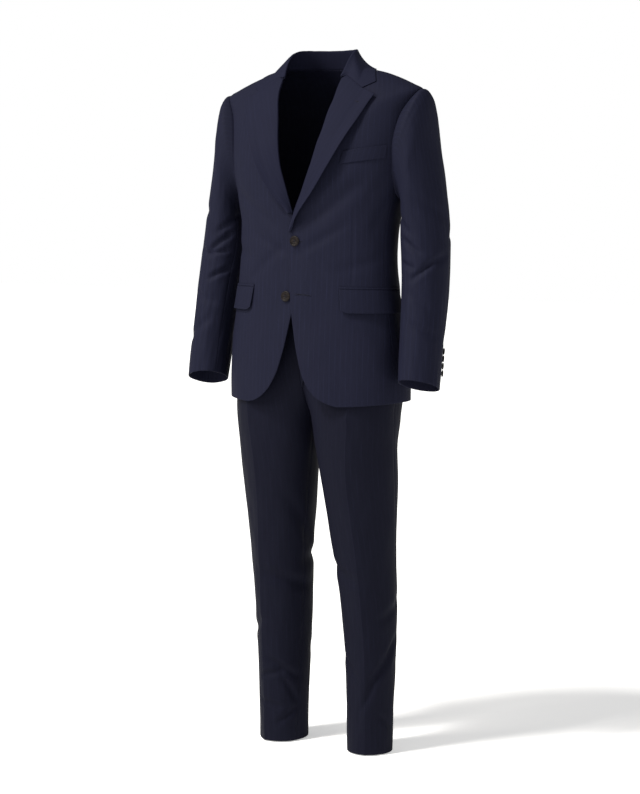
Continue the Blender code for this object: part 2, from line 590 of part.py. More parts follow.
def collar_half():
    """Grid of the collar's middle surface from the back centre to the left gorge seam."""
    rows = table(COLLAR_COLUMNS, COLLAR_ROWS)
    place = np.linspace(0, 1, 14)
    marks = np.linspace(0, 1, len(COLLAR_ROWS))
    angle, stand, edge_angle, edge_level = (spline(marks, rows[name], place) for name in COLLAR_COLUMNS)
    angle, edge_angle = np.radians(angle), np.radians(edge_angle)
    seam, normal = body(angle, np.full_like(angle, NECK))
    lean = unit(np.stack([-COLLAR_LEAN * np.cos(angle), -COLLAR_LEAN * np.sin(angle),
                          np.ones_like(angle)], axis=-1))
    out = unit(np.stack([np.cos(angle), np.sin(angle), 0 * angle], axis=-1))
    foot = seam - normal * JACKET_CLOTH / 2 + lean * (SEAM + 0.0004)
    fold = foot + lean * stand[:, None]
    lift = SEAM + TRIM_CLOTH / 2 + 0.0006
    edge, edge_normal = body(edge_angle, edge_level, lift)
    above = body(edge_angle, edge_level + 0.012, lift + 0.0015)[0]
    bend = ROLL_INSIDE + TRIM_CLOTH / 2
    over = fold + out * 2 * bend
    reach = np.linalg.norm(edge - over, axis=-1, keepdims=True)
    first, second = over - (lean - 0.35 * out) * 0.30 * reach, edge + unit(above - edge) * 0.35 * reach
    columns = [foot, foot * 0.5 + fold * 0.5, fold, fold + out * bend + lean * bend, over]
    for q in np.linspace(0, 1, 8)[1:]:
        columns.append((1 - q) ** 3 * over + 3 * q * (1 - q) ** 2 * first
                       + 3 * q * q * (1 - q) * second + q ** 3 * edge)
    face = np.array(columns)
    share = np.linspace(0, 1, 8)[1:]
    marks = np.array([0, 0.62, 1])
    end_x = np.interp(share, marks, [GORGE_START[0], NOTCH[0], COLLAR_TIP[0]])
    end_z = np.interp(share, marks, [GORGE_START[1], NOTCH[1], COLLAR_TIP[1]])
    end = on_front(end_x, end_z, lift)[0]
    fade = ease(0.60, 1.0, place)[None, :, None]
    face[5:] += fade * (end[:, None] - face[5:, -1:])
    face[5:] = keep_above_body(face[5:], lift)
    return face


def keep_above_body(points, lift):
    """Raise points that lie less than lift above the shoulders and chest near the neck."""
    angle, level = np.meshgrid(np.radians(np.linspace(-75, 90, 100)), np.linspace(1.38, NECK, 70))
    sample, normal = body(angle.ravel(), level.ravel())
    raised = points.reshape(-1, 3).copy()
    for point in raised:
        near = np.argmin(((sample - point) ** 2).sum(axis=1))
        height = (point - sample[near]) @ normal[near]
        if level.ravel()[near] < NECK - 1e-6 and height < lift:
            point += normal[near] * (lift - height)
    return raised.reshape(points.shape)


def collar():
    """Notched collar: stand and fall in one piece from gorge to gorge."""
    left = collar_half()
    right = left[:, :0:-1] * (-1, 1, 1)
    face = np.concatenate([right, left], axis=1)
    normal = grid_normals(face)
    face = draw_in(face, SEAM)
    shell("collar", face + normal * TRIM_CLOTH / 2, face - normal * TRIM_CLOTH / 2)


def patch(name, corners, lift, splay=0.0, thickness=TRIM_CLOTH, round_corner=0.0, mirror=False, steps=(9, 4)):
    """Strip laid on the body between four corners (angle in degrees, height), lower edge splayed."""
    (a0, z0), (a1, z1), (a2, z2), (a3, z3) = corners
    u = np.linspace(0, 1, steps[0])[:, None]
    v = np.linspace(0, 1, steps[1])[None, :]
    v = v * (1 - round_corner * np.clip((0.10 - u) / 0.10, 0, 1) ** 2)
    top_a, top_z = a0 + (a1 - a0) * u, z0 + (z1 - z0) * u
    low_a, low_z = a3 + (a2 - a3) * u, z3 + (z2 - z3) * u
    angle = np.radians(top_a + (low_a - top_a) * v)
    level = top_z + (low_z - top_z) * v
    face, normal = body(angle, level, lift + splay * v)
    shell(name, face + normal * thickness, face, NAVY, mirror)


def pockets(mirror):
    """Jetted hip pocket with its flap."""
    jet = ((-57, 0.9945), (8, 0.9915), (8, 0.9860), (-57, 0.9890))
    flap = ((-57, 0.9885), (8, 0.9855), (9, 0.9375), (-56, 0.9405))
    patch(side_name("pocket_jet", mirror), jet, 2 * SEAM, steps=(15, 2), thickness=0.0012, mirror=mirror)
    patch(side_name("pocket_flap", mirror), flap, 2 * SEAM, 0.0018, round_corner=0.10, mirror=mirror, steps=(15, 4))


def breast_welt():
    """Welt of the left breast pocket, its ends slanted."""
    u = np.linspace(0, 1, 8)[:, None]
    v = np.linspace(0, 1, 3)[None, :]
    x = 0.1085 + 0.078 * u - 0.006 * v + 0.004 * u * v
    z = 1.2745 + 0.012 * u - 0.027 * v
    face, normal = on_front(x, z, SEAM)
    shell("breast_welt", face + normal * TRIM_CLOTH, face, NAVY)


# ---- trousers ------------------------------------------------------------------------------
LEG_LEVELS = np.array([-0.012, 0.025, 0.075, 0.120, 0.165, 0.210, 0.265, 0.325, 0.385, 0.440, 0.500,
                       0.560, 0.620, 0.670, 0.700, 0.712, 0.724, 0.740, 0.765, 0.800, 0.850, 0.910, 0.965])


def leg_panel(base, mirror, side):
    """Front or back of a leg, from the outseam to the inseam and centre seam."""
    folds = RIGHT_LEG_FOLDS if mirror else LEFT_LEG_FOLDS
    levels = LEG_LEVELS
    crease = -side * np.radians(spline(LEG["z"], LEG["crease"], levels))
    end = inner_angle(levels, side)
    share = np.linspace(0, 1, 6)[:, None]
    first = OUTSEAM + (crease - OUTSEAM) * share
    second = crease + (end - crease) * share[1:]
    angle = np.concatenate([first, second])
    z = np.broadcast_to(levels, angle.shape)
    normal = normals(leg, angle, z)
    face = leg(angle, z) - normal * folded(angle, z, LEG_RADIUS, folds)[..., None]
    face = draw_in(face)
    face[..., 0] = np.maximum(face[..., 0], SEAM / 2)
    inner = face - normal * TROUSER_CLOTH
    inner[..., 0] = np.maximum(inner[..., 0], SEAM / 2)
    shell(side_name(base, mirror), face, inner, NAVY_DARK, mirror)


def waistband():
    """Band round the trouser top, open at the centre front."""
    angle = np.radians(np.linspace(-90, 90, 19))[:, None]
    levels = np.array([WAIST_SEAM, (WAIST_SEAM + WAIST_TOP) / 2, WAIST_TOP])
    z = np.broadcast_to(levels, (19, 3))
    half, half_normal = leg(angle, z), normals(leg, angle, np.clip(z, 0, WAIST_TOP - 2e-4))
    face = np.concatenate([half, half[-2::-1] * (-1, 1, 1)])
    normal = np.concatenate([half_normal, half_normal[-2::-1] * (-1, 1, 1)])
    wall("waistband", face, normal, 0.0028, NAVY_DARK)


def fly():
    """Fly strip on the left front, its lower end curving in to the centre seam."""
    v = np.linspace(0, 1, 10)[None, :]
    u = np.linspace(0, 1, 4)[:, None]
    z = 0.958 - 0.176 * v
    width = 0.036 * (1 - ease(0.70, 1.0, v) * 0.9)
    base = leg(inner_angle(z, -1), z)
    start = inner_angle(z, -1) + 0.012
    angle = start + width * u / np.maximum(np.hypot(base[..., 0], base[..., 1]), 0.08)
    level = z + 0 * u
    normal = normals(leg, angle, level)
    face = leg(angle, level) + normal * FLY_LIFT
    shell("fly", face + normal * 0.0012, face, NAVY_DARK)


# ---- buttons ---------------------------------------------------------------------------------
def button(name, centre, normal, diameter, height, steps=16):
    """Turned button with a raised rim, its back to the cloth at centre."""
    r = diameter / 2
    profile = ((0, 0), (r * 0.72, 0), (r, height * 0.45), (r * 0.97, height * 0.85),
               (r * 0.86, height), (r * 0.68, height * 0.78), (0, height * 0.72))
    mesh = bmesh.new()
    verts = [mesh.verts.new((x, 0, z)) for x, z in profile]
    edges = [mesh.edges.new(pair) for pair in zip(verts[:-1], verts[1:])]
    bmesh.ops.spin(mesh, geom=verts + edges, cent=(0, 0, 0), axis=(0, 0, 1),
                   angle=2 * math.pi, steps=steps)
    bmesh.ops.remove_doubles(mesh, verts=mesh.verts, dist=1e-6)
    turn = Vector((0, 0, 1)).rotation_difference(Vector(normal)).to_matrix().to_4x4()
    place = Matrix.Translation(Vector(settle(np.array(centre))) - Vector((0, 0, NECK_HEIGHT)))
    bmesh.ops.transform(mesh, matrix=place @ turn, verts=mesh.verts)
    add_object(name, mesh, HORN, 0.35)


def front_button(name, x, z, mirror, lift):
    """22 mm button on a front; x is measured on its own side."""
    face, normal = on_front(np.array([x]), np.array([z]), lift)
    flip = np.array([-1 if mirror else 1, 1, 1])
    button(name, face[0] * flip, normal[0] * flip, 0.022, 0.0034)


def cuff_buttons(mirror):
    """Four 15 mm buttons up the rear sleeve seam."""
    folds = RIGHT_SLEEVE_FOLDS if mirror else LEFT_SLEEVE_FOLDS
    stations = CUFF - 0.0350 - CUFF_PITCH * np.arange(3, -1, -1)
    face, normal = sleeve(SLEEVE_TURNS, stations, folds)
    flip = np.array([-1 if mirror else 1, 1, 1])
    seam = BACK_SLEEVE_SEAM + 1
    for k in range(4):
        point = face[seam, k] * 0.62 + face[seam - 1, k] * 0.38
        way = unit(normal[seam, k] + normal[seam - 1, k])
        button(f"cuff_button_{'right' if mirror else 'left'}_{4 - k}",
               (point + way * (SEAM + 0.0005)) * flip, way * flip, 0.0145, 0.0026, 12)


def main():
    for old in list(bpy.data.objects):
        bpy.data.objects.remove(old)
    for mirror in (False, True):
        jacket_front(mirror)
        jacket_side(mirror)
        jacket_back(mirror)
        jacket_sleeve(mirror)
        lapel(mirror)
        pockets(mirror)
        leg_panel("trouser_front", mirror, -1)
        leg_panel("trouser_back", mirror, 1)
        cuff_buttons(mirror)
    collar()
    breast_welt()
    waistband()
    fly()
    front_button("front_button_upper", 0.004, 1.088, False, LAP + SEAM)
    front_button("front_button_lower", 0.0165, 0.9725, True, -LAP + SEAM + 0.0004)
    waist_point = leg(np.array([math.radians(-84)]), np.array([0.986]))[0]
    waist_normal = normals(leg, np.array([math.radians(-84)]), np.array([0.986]))[0]
    button("waist_button", waist_point + waist_normal * SEAM * 2, waist_normal, 0.015, 0.0026, 12)


main()
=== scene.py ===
"""Two-piece suit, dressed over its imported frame: worsted cloth, pressed creases, rolled
lapels, stitching, buttonholes and horn buttons.

Metres, +Z up, front towards -Y, the wearer's left towards +X.  Heights in the tables run up
from the trouser hems; every point is lowered by NECK_HEIGHT when its mesh is made.
"""
import math

import bpy
import numpy as np
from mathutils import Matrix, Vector


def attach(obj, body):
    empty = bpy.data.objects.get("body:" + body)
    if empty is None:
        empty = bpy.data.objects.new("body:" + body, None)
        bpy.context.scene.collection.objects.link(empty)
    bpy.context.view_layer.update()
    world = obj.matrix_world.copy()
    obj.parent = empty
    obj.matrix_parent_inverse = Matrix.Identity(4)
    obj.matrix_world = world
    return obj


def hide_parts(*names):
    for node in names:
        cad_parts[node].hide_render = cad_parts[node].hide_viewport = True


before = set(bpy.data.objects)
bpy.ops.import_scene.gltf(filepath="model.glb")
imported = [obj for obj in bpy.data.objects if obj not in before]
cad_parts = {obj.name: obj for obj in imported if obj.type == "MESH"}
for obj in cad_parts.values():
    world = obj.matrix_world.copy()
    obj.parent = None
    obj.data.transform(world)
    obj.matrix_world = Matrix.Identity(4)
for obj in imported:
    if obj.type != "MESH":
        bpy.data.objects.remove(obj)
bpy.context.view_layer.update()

# ---- jacket fronts -----------------------------------------------------------------------
# The two fronts of a single-breasted jacket, cut in navy worsted and pressed over canvas.
# Each runs from the side seam to the front edge and the roll line, and the left laps over
# the right.  A dart takes in the waist above the pocket.
NECK_HEIGHT = 1.440
JACKET_CLOTH = 0.0020
SEAM = 0.0003
LAP = 0.0023
RIGHT_DROP = 0.007         # the wearer's right shoulder is carried this much lower
CUFF_DROP = 0.013          # and the right cuff hangs this much lower on its outer side

TORSO_COLUMNS = ("level", "z_side", "z_front", "z_back", "half_width",
                 "y_front", "y_back", "y_side", "square", "point")
TORSO_ROWS = (
    (0.745, 0.752, 0.744, 0.750, 0.207, -0.148, 0.108, -0.021, 2.15, 0.000),   # hem
    (0.800, 0.804, 0.799, 0.803, 0.207, -0.147, 0.109, -0.022, 2.15, 0.000),
    (0.870, 0.872, 0.869, 0.871, 0.202, -0.144, 0.103, -0.024, 2.15, 0.000),   # seat
    (0.950, 0.950, 0.950, 0.950, 0.190, -0.138, 0.087, -0.027, 2.15, 0.000),
    (1.070, 1.070, 1.070, 1.070, 0.180, -0.130, 0.075, -0.026, 2.20, 0.000),   # waist
    (1.130, 1.130, 1.130, 1.130, 0.182, -0.129, 0.085, -0.019, 2.25, 0.000),
    (1.175, 1.175, 1.174, 1.175, 0.190, -0.130, 0.100, -0.011, 2.30, 0.000),   # underarm
    (1.235, 1.235, 1.230, 1.235, 0.203, -0.131, 0.117, -0.003, 2.35, 0.000),   # chest
    (1.300, 1.300, 1.283, 1.298, 0.208, -0.123, 0.123, 0.000, 2.40, 0.001),
    (1.360, 1.360, 1.315, 1.345, 0.206, -0.112, 0.120, 0.000, 2.40, 0.012),
    (1.402, 1.402, 1.338, 1.373, 0.201, -0.104, 0.114, 0.000, 2.35, 0.030),    # shoulder end
    (1.425, 1.413, 1.351, 1.389, 0.191, -0.100, 0.108, 0.000, 2.30, 0.018),
    (1.480, 1.434, 1.370, 1.422, 0.153, -0.093, 0.089, 0.000, 2.20, 0.003),
    (1.557, 1.450, 1.386, 1.448, 0.085, -0.088, 0.064, 0.000, 2.10, 0.000),    # neck seam
)
POINT_SPREAD = math.radians(26)
HEM, UNDERARM, SHOULDER, NECK = 0.745, 1.175, 1.402, 1.557

FRONT_EDGE_COLUMNS = ("level", "left", "right")
FRONT_EDGE_ROWS = (
    (0.745, 0.104, 0.116), (0.749, 0.090, 0.100), (0.757, 0.072, 0.083), (0.775, 0.049, 0.060),
    (0.797, 0.034, 0.044), (0.850, 0.016, 0.022), (0.897, 0.006, 0.010), (0.955, -0.0025, -0.001),
    (1.010, -0.0065, -0.008), (1.070, -0.0120, -0.0115), (1.110, -0.0100, -0.0070),
    (1.143, 0.001, 0.0055), (1.208, 0.0260, 0.0235), (1.255, 0.0412, 0.037), (1.330, 0.0540, 0.049),
    (1.402, 0.0620, 0.057), (1.480, 0.0710, 0.066), (1.557, 0.0730, 0.072),
)
ARMHOLE_FRONT, ARMHOLE_BACK = math.radians(27), math.radians(28)
FRONT_SEAM_HEM, FRONT_SEAM_TOP = math.radians(18), math.radians(15)
BACK_SEAM_HEM, BACK_SEAM_TOP = math.radians(29), math.radians(19)
BODY_RADIUS = 0.16

# soft troughs: centre (degrees round, height), slant, half length, half width, depth
FOLD_COLUMNS = ("angle", "height", "slant", "length", "width", "depth")
LEFT_BODY_FOLDS = (
    (-70, 1.092, 32, 0.055, 0.013, 0.0025),
    (-64, 1.168, 40, 0.066, 0.022, 0.0050),
    (-40, 1.040, 14, 0.060, 0.016, 0.0020),
    (-24, 1.150, 62, 0.045, 0.018, 0.0020),
    (-30, 1.215, 48, 0.040, 0.016, 0.0012),
    (-78, 1.045, -38, 0.040, 0.012, 0.0014),
    (60, 1.095, -8, 0.075, 0.020, 0.0035),
    (48, 1.150, 34, 0.050, 0.016, 0.0024),
    (30, 0.960, -20, 0.050, 0.018, 0.0018),
    (55, 1.245, 28, 0.055, 0.018, 0.0022),
)
RIGHT_BODY_FOLDS = (
    (-68, 1.085, 28, 0.055, 0.013, 0.0025),
    (-60, 1.150, 34, 0.060, 0.016, 0.0030),
    (-66, 1.040, -42, 0.060, 0.014, 0.0024),
    (-34, 1.060, 10, 0.060, 0.016, 0.0022),
    (-22, 1.140, 58, 0.045, 0.018, 0.0020),
    (62, 1.100, 10, 0.070, 0.020, 0.0035),
    (44, 1.160, 40, 0.045, 0.015, 0.0026),
    (34, 0.975, 18, 0.050, 0.018, 0.0018),
    (52, 1.250, 22, 0.055, 0.018, 0.0020),
)
DART_X, DART_TOP, DART_FOOT, DART_WIDTH, DART_DEPTH = 0.1265, 1.165, 0.992, 0.0026, 0.0009
GRAIN_X = 0.100            # the fronts' straight grain runs up here


def by_column(columns, rows):
    """Columns of a table of rows, by name."""
    return {name: np.array([row[k] for row in rows], float) for k, name in enumerate(columns)}


def curve_through(knots, values, at):
    """Cubic Hermite curve through (knots, values), each slope the mean of its two neighbours'."""
    at = np.clip(at, knots[0], knots[-1])
    slope = np.gradient(values, knots)
    k = np.clip(np.searchsorted(knots, at, side="right") - 1, 0, len(knots) - 2)
    span = knots[k + 1] - knots[k]
    s = (at - knots[k]) / span
    start = (1 + 2 * s) * (1 - s) ** 2 * values[k] + s * (1 - s) ** 2 * span * slope[k]
    end = (3 - 2 * s) * s ** 2 * values[k + 1] - (1 - s) * s ** 2 * span * slope[k + 1]
    return start + end


def ease(low, high, value):
    """0 below low, 1 above high, 3s^2 - 2s^3 between."""
    s = np.clip((value - low) / (high - low), 0, 1)
    return s * s * (3 - 2 * s)


def unit(vectors):
    """Vectors divided by their lengths."""
    return vectors / np.maximum(np.linalg.norm(vectors, axis=-1, keepdims=True), 1e-12)


def oval(angle, right, left, front, back, square):
    """Superellipse |cos|^n + |sin|^n = 1 with four half axes: x, y and the sine part."""
    c, s = np.cos(angle), np.sin(angle)
    r = (np.abs(c) ** square + np.abs(s) ** square) ** (-1 / square)
    x = np.where(c > 0, right, left) * c * r
    y = np.where(s > 0, back, front) * s * r
    return x, y, s * r


def troughs(angle, height, radius, folds):
    """Depth of slanted troughs: (1 - 0.8 q) e^-q across each, faded by e^-(along/length)^4."""
    fold = by_column(FOLD_COLUMNS, folds)
    total = np.zeros(np.broadcast(angle, height).shape)
    for k in range(len(folds)):
        turn = (angle - math.radians(fold["angle"][k]) + math.pi) % (2 * math.pi) - math.pi
        around, rise = turn * radius, height - fold["height"][k]
        slant = math.radians(fold["slant"][k])
        along = around * math.cos(slant) + rise * math.sin(slant)
        across = rise * math.cos(slant) - around * math.sin(slant)
        q = (across / fold["width"][k]) ** 2
        total += fold["depth"][k] * (1 - 0.8 * q) * np.exp(-q - (along / fold["length"][k]) ** 4)
    return total


def unrest(angle, height, phase=0.0):
    """Slow unevenness of hanging cloth: four sines of unlike wavelengths, 0.4 mm in all."""
    return 0.00016 * (np.sin(9 * angle + 31 * height + phase)
                      + np.sin(-6 * angle + 47 * height + 1.7 + phase)
                      + 0.7 * np.sin(16 * angle - 63 * height + 0.6)
                      + 0.6 * np.sin(23 * angle + 19 * height + 2.9 * phase))


TORSO = by_column(TORSO_COLUMNS, TORSO_ROWS)
FRONT_EDGE = by_column(FRONT_EDGE_COLUMNS, FRONT_EDGE_ROWS)


def torso(angle, level):
    """Jacket body: a superellipse a level, angle 0 at the wearer's left, -90 degrees in front."""
    row = {name: curve_through(TORSO["level"], TORSO[name], level) for name in TORSO_COLUMNS[1:]}
    front, back = row["y_side"] - row["y_front"], row["y_back"] - row["y_side"]
    x, y, s = oval(angle, row["half_width"], row["half_width"], front, back, row["square"])
    x = x + row["point"] * np.exp(-(angle / POINT_SPREAD) ** 2)
    rise = np.where(s > 0, row["z_back"], row["z_front"]) - row["z_side"]
    return np.stack([x, row["y_side"] + y, row["z_side"] + rise * s ** 2], axis=-1)


def normals_of(surface, angle, level):
    """Cross product of small steps round and up a surface(angle, level)."""
    step = 1e-4
    across = surface(angle + step, level) - surface(angle - step, level)
    up = surface(angle, level + step) - surface(angle, level - step)
    return unit(np.cross(across, up))


def body(angle, level, mirror, lift=0.0):
    """Torso sunk by its troughs and raised by lift: points and outward normals."""
    angle, level = np.broadcast_arrays(np.asarray(angle, float), np.asarray(level, float))
    normal = normals_of(torso, angle, np.clip(level, HEM + 2e-4, NECK - 2e-4))
    folds = RIGHT_BODY_FOLDS if mirror else LEFT_BODY_FOLDS
    flute = 0.0012 * np.sin(8 * angle + 0.9) * (1 - ease(0.745, 0.93, level))
    flute = flute * ease(0.15, 0.6, np.abs(np.abs(angle) - math.pi / 2))
    out = lift - troughs(angle, level, BODY_RADIUS, folds) + flute
    out = out + unrest(angle, level) * ease(0.0, 0.3, np.abs(np.abs(angle) - math.pi / 2))
    return torso(angle, level) + normal * np.asarray(out)[..., None], normal


def front_angle(x, level):
    """Angle at which the front has this x, by halving the quarter circle 24 times."""
    low = np.full(np.broadcast(x, level).shape, -math.pi * 0.75)
    high = np.zeros_like(low)
    for _ in range(24):
        middle = (low + high) / 2
        beyond = torso(middle, level)[..., 0] > x
        high, low = np.where(beyond, middle, high), np.where(beyond, low, middle)
    return (low + high) / 2


def armhole_point(turn):
    """Armhole, an ellipse in angle and level; turn 0 at the shoulder, 90 degrees in front."""
    middle, half = (SHOULDER + UNDERARM) / 2, (SHOULDER - UNDERARM) / 2
    reach = np.where(np.sin(turn) > 0, -ARMHOLE_FRONT, -ARMHOLE_BACK)
    return reach * np.sin(turn), middle + half * np.cos(turn)


def lap_lift(x, level, mirror):
    """LAP outwards on the left and inwards on the right near the closure, eased to nothing."""
    near = (1 - ease(0.02, 0.07, np.abs(x))) * ease(0.90, 0.96, level)
    return (-LAP if mirror else LAP) * near * (1 - ease(1.145, 1.20, level))


def off_line(way, line):
    """Directions with their share along a line taken out."""
    line = unit(line)
    return unit(way - line * (way * line).sum(axis=-1, keepdims=True))


def draw_in(face, distance):
    """A grid whose border is moved inwards by a distance, square to the border."""
    moved = face.copy()
    for a, b in ((0, 1), (-1, -2)):
        moved[a] += off_line(face[b] - face[a], np.gradient(face[a], axis=0)) * distance
        moved[:, a] += off_line(face[:, b] - face[:, a], np.gradient(face[:, a], axis=0)) * distance
    return moved


def settle(points):
    """Carry the wearer's right shoulder lower, and heights down to the neck's."""
    right, height = -points[..., 0], points[..., 2]
    drop = RIGHT_DROP * ease(0.05, 0.19, right) * ease(1.10, 1.36, height)
    drop = drop + CUFF_DROP * ease(0.212, 0.305, right) * (1 - ease(0.86, 1.06, height))
    return points - np.stack([0 * drop, 0 * drop, drop + NECK_HEIGHT], axis=-1)


def put(name, points, faces, places, finish, stands_for=()):
    """One object from points, faces and places on the cloth, turned outwards by its volume."""
    p = points[faces]
    volume = (p[:, 0] * (np.cross(p[:, 1], p[:, 2]) + np.cross(p[:, 2], p[:, -1]))).sum()
    if volume < 0:
        faces = faces[:, ::-1]
    mesh = bpy.data.meshes.new(name)
    mesh.from_pydata(points.tolist(), [], faces.tolist())
    layer = mesh.uv_layers.new(name="cloth")
    layer.uv.foreach_set("vector", places[faces.ravel()].astype(np.float32).ravel())
    mesh.shade_smooth()
    mesh.materials.append(finish)
    piece = bpy.data.objects.new(name, mesh)
    bpy.context.scene.collection.objects.link(piece)
    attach(piece, "root")
    if stands_for:
        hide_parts(*stands_for)
    return piece


def cloth_wall(face, normal, thickness, places, gap=-0.0001, roll=0.0007, back=None):
    """A grid drawn in by gap + roll, a second one a wall behind it, and a half-round rim."""
    count_i, count_j = face.shape[:2]
    wide, outer = draw_in(face, gap), draw_in(face, gap + roll)
    inner = outer - normal * thickness
    if back is not None:
        inner = back(inner)
    index = np.arange(count_i * count_j).reshape(count_i, count_j)
    rim = np.concatenate([index[:, 0], index[-1, 1:], index[-2::-1, -1], index[0, -2:0:-1]])
    flat = [grid.reshape(-1, 3) for grid in (wide, outer, inner)]
    out = (flat[0] - flat[1])[rim]
    middle, half = (flat[1] + flat[2])[rim] / 2, (flat[1] - flat[2])[rim] / 2
    turns = np.radians([45, 90, 135])[:, None, None]
    rings = middle + half * np.cos(turns) + out * np.sin(turns)
    points = np.concatenate([flat[1], flat[2], rings.reshape(-1, 3)])
    spots = places.reshape(-1, 2)
    spots = np.concatenate([spots, spots, np.tile(spots[rim], (3, 1))])
    quads = np.stack([index[:-1, :-1], index[1:, :-1], index[1:, 1:], index[:-1, 1:]], axis=-1)
    quads = quads.reshape(-1, 4)
    loops = [rim] + [len(index.ravel()) * 2 + k * len(rim) + np.arange(len(rim)) for k in range(3)]
    loops.append(rim + index.size)
    bands = [np.stack([np.roll(a, -1), a, b, np.roll(b, -1)], axis=-1)
             for a, b in zip(loops[:-1], loops[1:])]
    return points, np.concatenate([quads, (quads + index.size)[:, ::-1], *bands]), spots


def sewn(name, face, normal, thickness, places, finish, node, flip=(1, 1, 1),
         slot="navy_wool_jacket", **shape):
    """A cloth wall on a grid, settled and put in the scene in place of a node."""
    points, faces, spots = cloth_wall(face, normal, thickness, places, **shape)
    return put(name, settle(points * flip), faces, spots, finish, [node])


def grain(face, column=0, up=None):
    """Places on the cut cloth, in metres: arc length across from a column, and up one column."""
    step = np.linalg.norm(np.diff(face, axis=0), axis=-1)
    across = np.concatenate([np.zeros((1, face.shape[1])), np.cumsum(step, axis=0)])
    rise = np.linalg.norm(np.diff(face[column if up is None else up], axis=0), axis=-1)
    along = np.concatenate([[0], np.cumsum(rise)])
    return np.stack([across - across[column], np.broadcast_to(along, across.shape)], axis=-1)


def linear(hex_colour):
    """sRGB hex to linear red, green, blue and a full alpha."""
    value = np.array([int(hex_colour[k:k + 2], 16) for k in (1, 3, 5)]) / 255
    value = np.where(value <= 0.04045, value / 12.92, ((value + 0.055) / 1.055) ** 2.4)
    return (*value.tolist(), 1.0)


def add(tree, kind, links=None, **settings):
    """Add a node with its settings; links gives each input a value or another node's output."""
    made = tree.nodes.new(kind)
    for name, value in settings.items():
        setattr(made, name, value)
    for name, value in (links or {}).items():
        if isinstance(value, bpy.types.NodeSocket):
            tree.links.new(value, made.inputs[name])
        else:
            made.inputs[name].default_value = value
    return made.outputs[0]


def scaled(tree, place, factors):
    """A place with each of its axes multiplied by a factor."""
    return add(tree, "ShaderNodeVectorMath", {0: place, 1: factors}, operation="MULTIPLY")


def blend(tree, share, low, high):
    """Colour between two, each a hex colour or another blend's output."""
    made = tree.nodes.new("ShaderNodeMix")
    made.data_type = "RGBA"
    tree.links.new(share, made.inputs[0])
    for socket, value in ((made.inputs[6], low), (made.inputs[7], high)):
        if isinstance(value, str):
            socket.default_value = linear(value)
        else:
            tree.links.new(value, socket)
    return made.outputs[2]


def material(name, roughness, specular):
    """A new material's node tree and shader, with its roughness and specular level set."""
    made = bpy.data.materials.new(name)
    made.use_nodes = True
    shader = made.node_tree.nodes["Principled BSDF"]
    shader.inputs["Roughness"].default_value = roughness
    shader.inputs["Specular IOR Level"].default_value = specular
    return made, made.node_tree, shader


STRIPE = 0.0058            # from one woven stripe to the next
TWILL = 0.0022             # twill lines, drawn three times as coarse as the real 0.7 mm


def worsted(name, ground, stripe, shade, roughness, clear=1.0):
    """Worsted suiting: a self stripe and herringbone twill that read as fine vertical lines,
    and long yarn streaks; clear is how strongly they show on a dull, pressed face."""
    made, tree, shader = material(name, roughness, 0.05)
    place = add(tree, "ShaderNodeUVMap", uv_map="cloth")
    split = tree.nodes.new("ShaderNodeSeparateXYZ")
    tree.links.new(place, split.inputs[0])
    across, along = split.outputs["X"], split.outputs["Y"]
    beat = add(tree, "ShaderNodeMath", {0: across, 1: STRIPE}, operation="PINGPONG")
    line = add(tree, "ShaderNodeMapRange", {0: beat, 1: STRIPE * 0.30, 2: STRIPE * 0.02, 3: 0.0,
                                            4: 1.0}, interpolation_type="SMOOTHSTEP")
    lean = add(tree, "ShaderNodeMath", {0: along, 1: beat}, operation="ADD")
    count = add(tree, "ShaderNodeMath", {0: lean, 1: 2 * math.pi / TWILL}, operation="MULTIPLY")
    twill = add(tree, "ShaderNodeMath", {0: count}, operation="SINE")
    stretch = scaled(tree, place, (620.0, 26.0, 1.0))
    streak = add(tree, "ShaderNodeTexNoise", {"Vector": stretch, "Scale": 1.0, "Detail": 3.0,
                                              "Roughness": 0.6})
    cloud = add(tree, "ShaderNodeTexNoise", {"Vector": place, "Scale": 9.0, "Detail": 2.0})
    slub = scaled(tree, place, (170.0, 14.0, 1.0))
    slub = add(tree, "ShaderNodeTexNoise", {"Vector": slub, "Scale": 1.0, "Detail": 1.0})
    slub = add(tree, "ShaderNodeMapRange", {0: slub, 1: 0.35, 2: 0.65, 3: 0.05, 4: 0.62 * clear})
    marked = add(tree, "ShaderNodeMath", {0: line, 1: slub}, operation="MULTIPLY")
    yarn = add(tree, "ShaderNodeMapRange", {0: streak, 1: 0.30, 2: 0.70, 3: -0.20 * clear,
                                            4: 0.20 * clear})
    weave = add(tree, "ShaderNodeMath", {0: twill, 1: 0.07, 2: marked}, operation="MULTIPLY_ADD")
    mixed = add(tree, "ShaderNodeMath", {0: yarn, 1: weave}, operation="ADD")
    mixed = add(tree, "ShaderNodeMapRange", {0: mixed, 1: -0.2, 2: 0.8, 3: 0.0, 4: 1.0})
    fade = add(tree, "ShaderNodeMapRange", {0: cloud, 1: 0.40, 2: 0.70, 3: 0.0, 4: 0.35})
    tree.links.new(blend(tree, fade, blend(tree, mixed, ground, stripe), shade),
                   shader.inputs["Base Color"])
    relief = add(tree, "ShaderNodeMath", {0: twill, 1: 0.35, 2: streak}, operation="MULTIPLY_ADD")
    relief = add(tree, "ShaderNodeMath", {0: line, 1: relief}, operation="ADD")
    bump = add(tree, "ShaderNodeBump", {"Strength": 0.30 * clear, "Distance": 0.00022,
                                        "Height": relief})
    tree.links.new(bump, shader.inputs["Normal"])
    return made


jacket_wool = worsted("navy_worsted_jacket", "#131421", "#1e2033", "#181928", 0.70, 0.6)

LEVEL_TURN = math.pi - math.asin(FRONT_SEAM_TOP / ARMHOLE_FRONT)
ROWS_LOW, ROWS_ARM, ROWS_HIGH, FRONT_COLUMNS_COUNT = 128, 64, 38, 76
SIDES = (("left", False, np.array([1, 1, 1])), ("right", True, np.array([-1, 1, 1])))


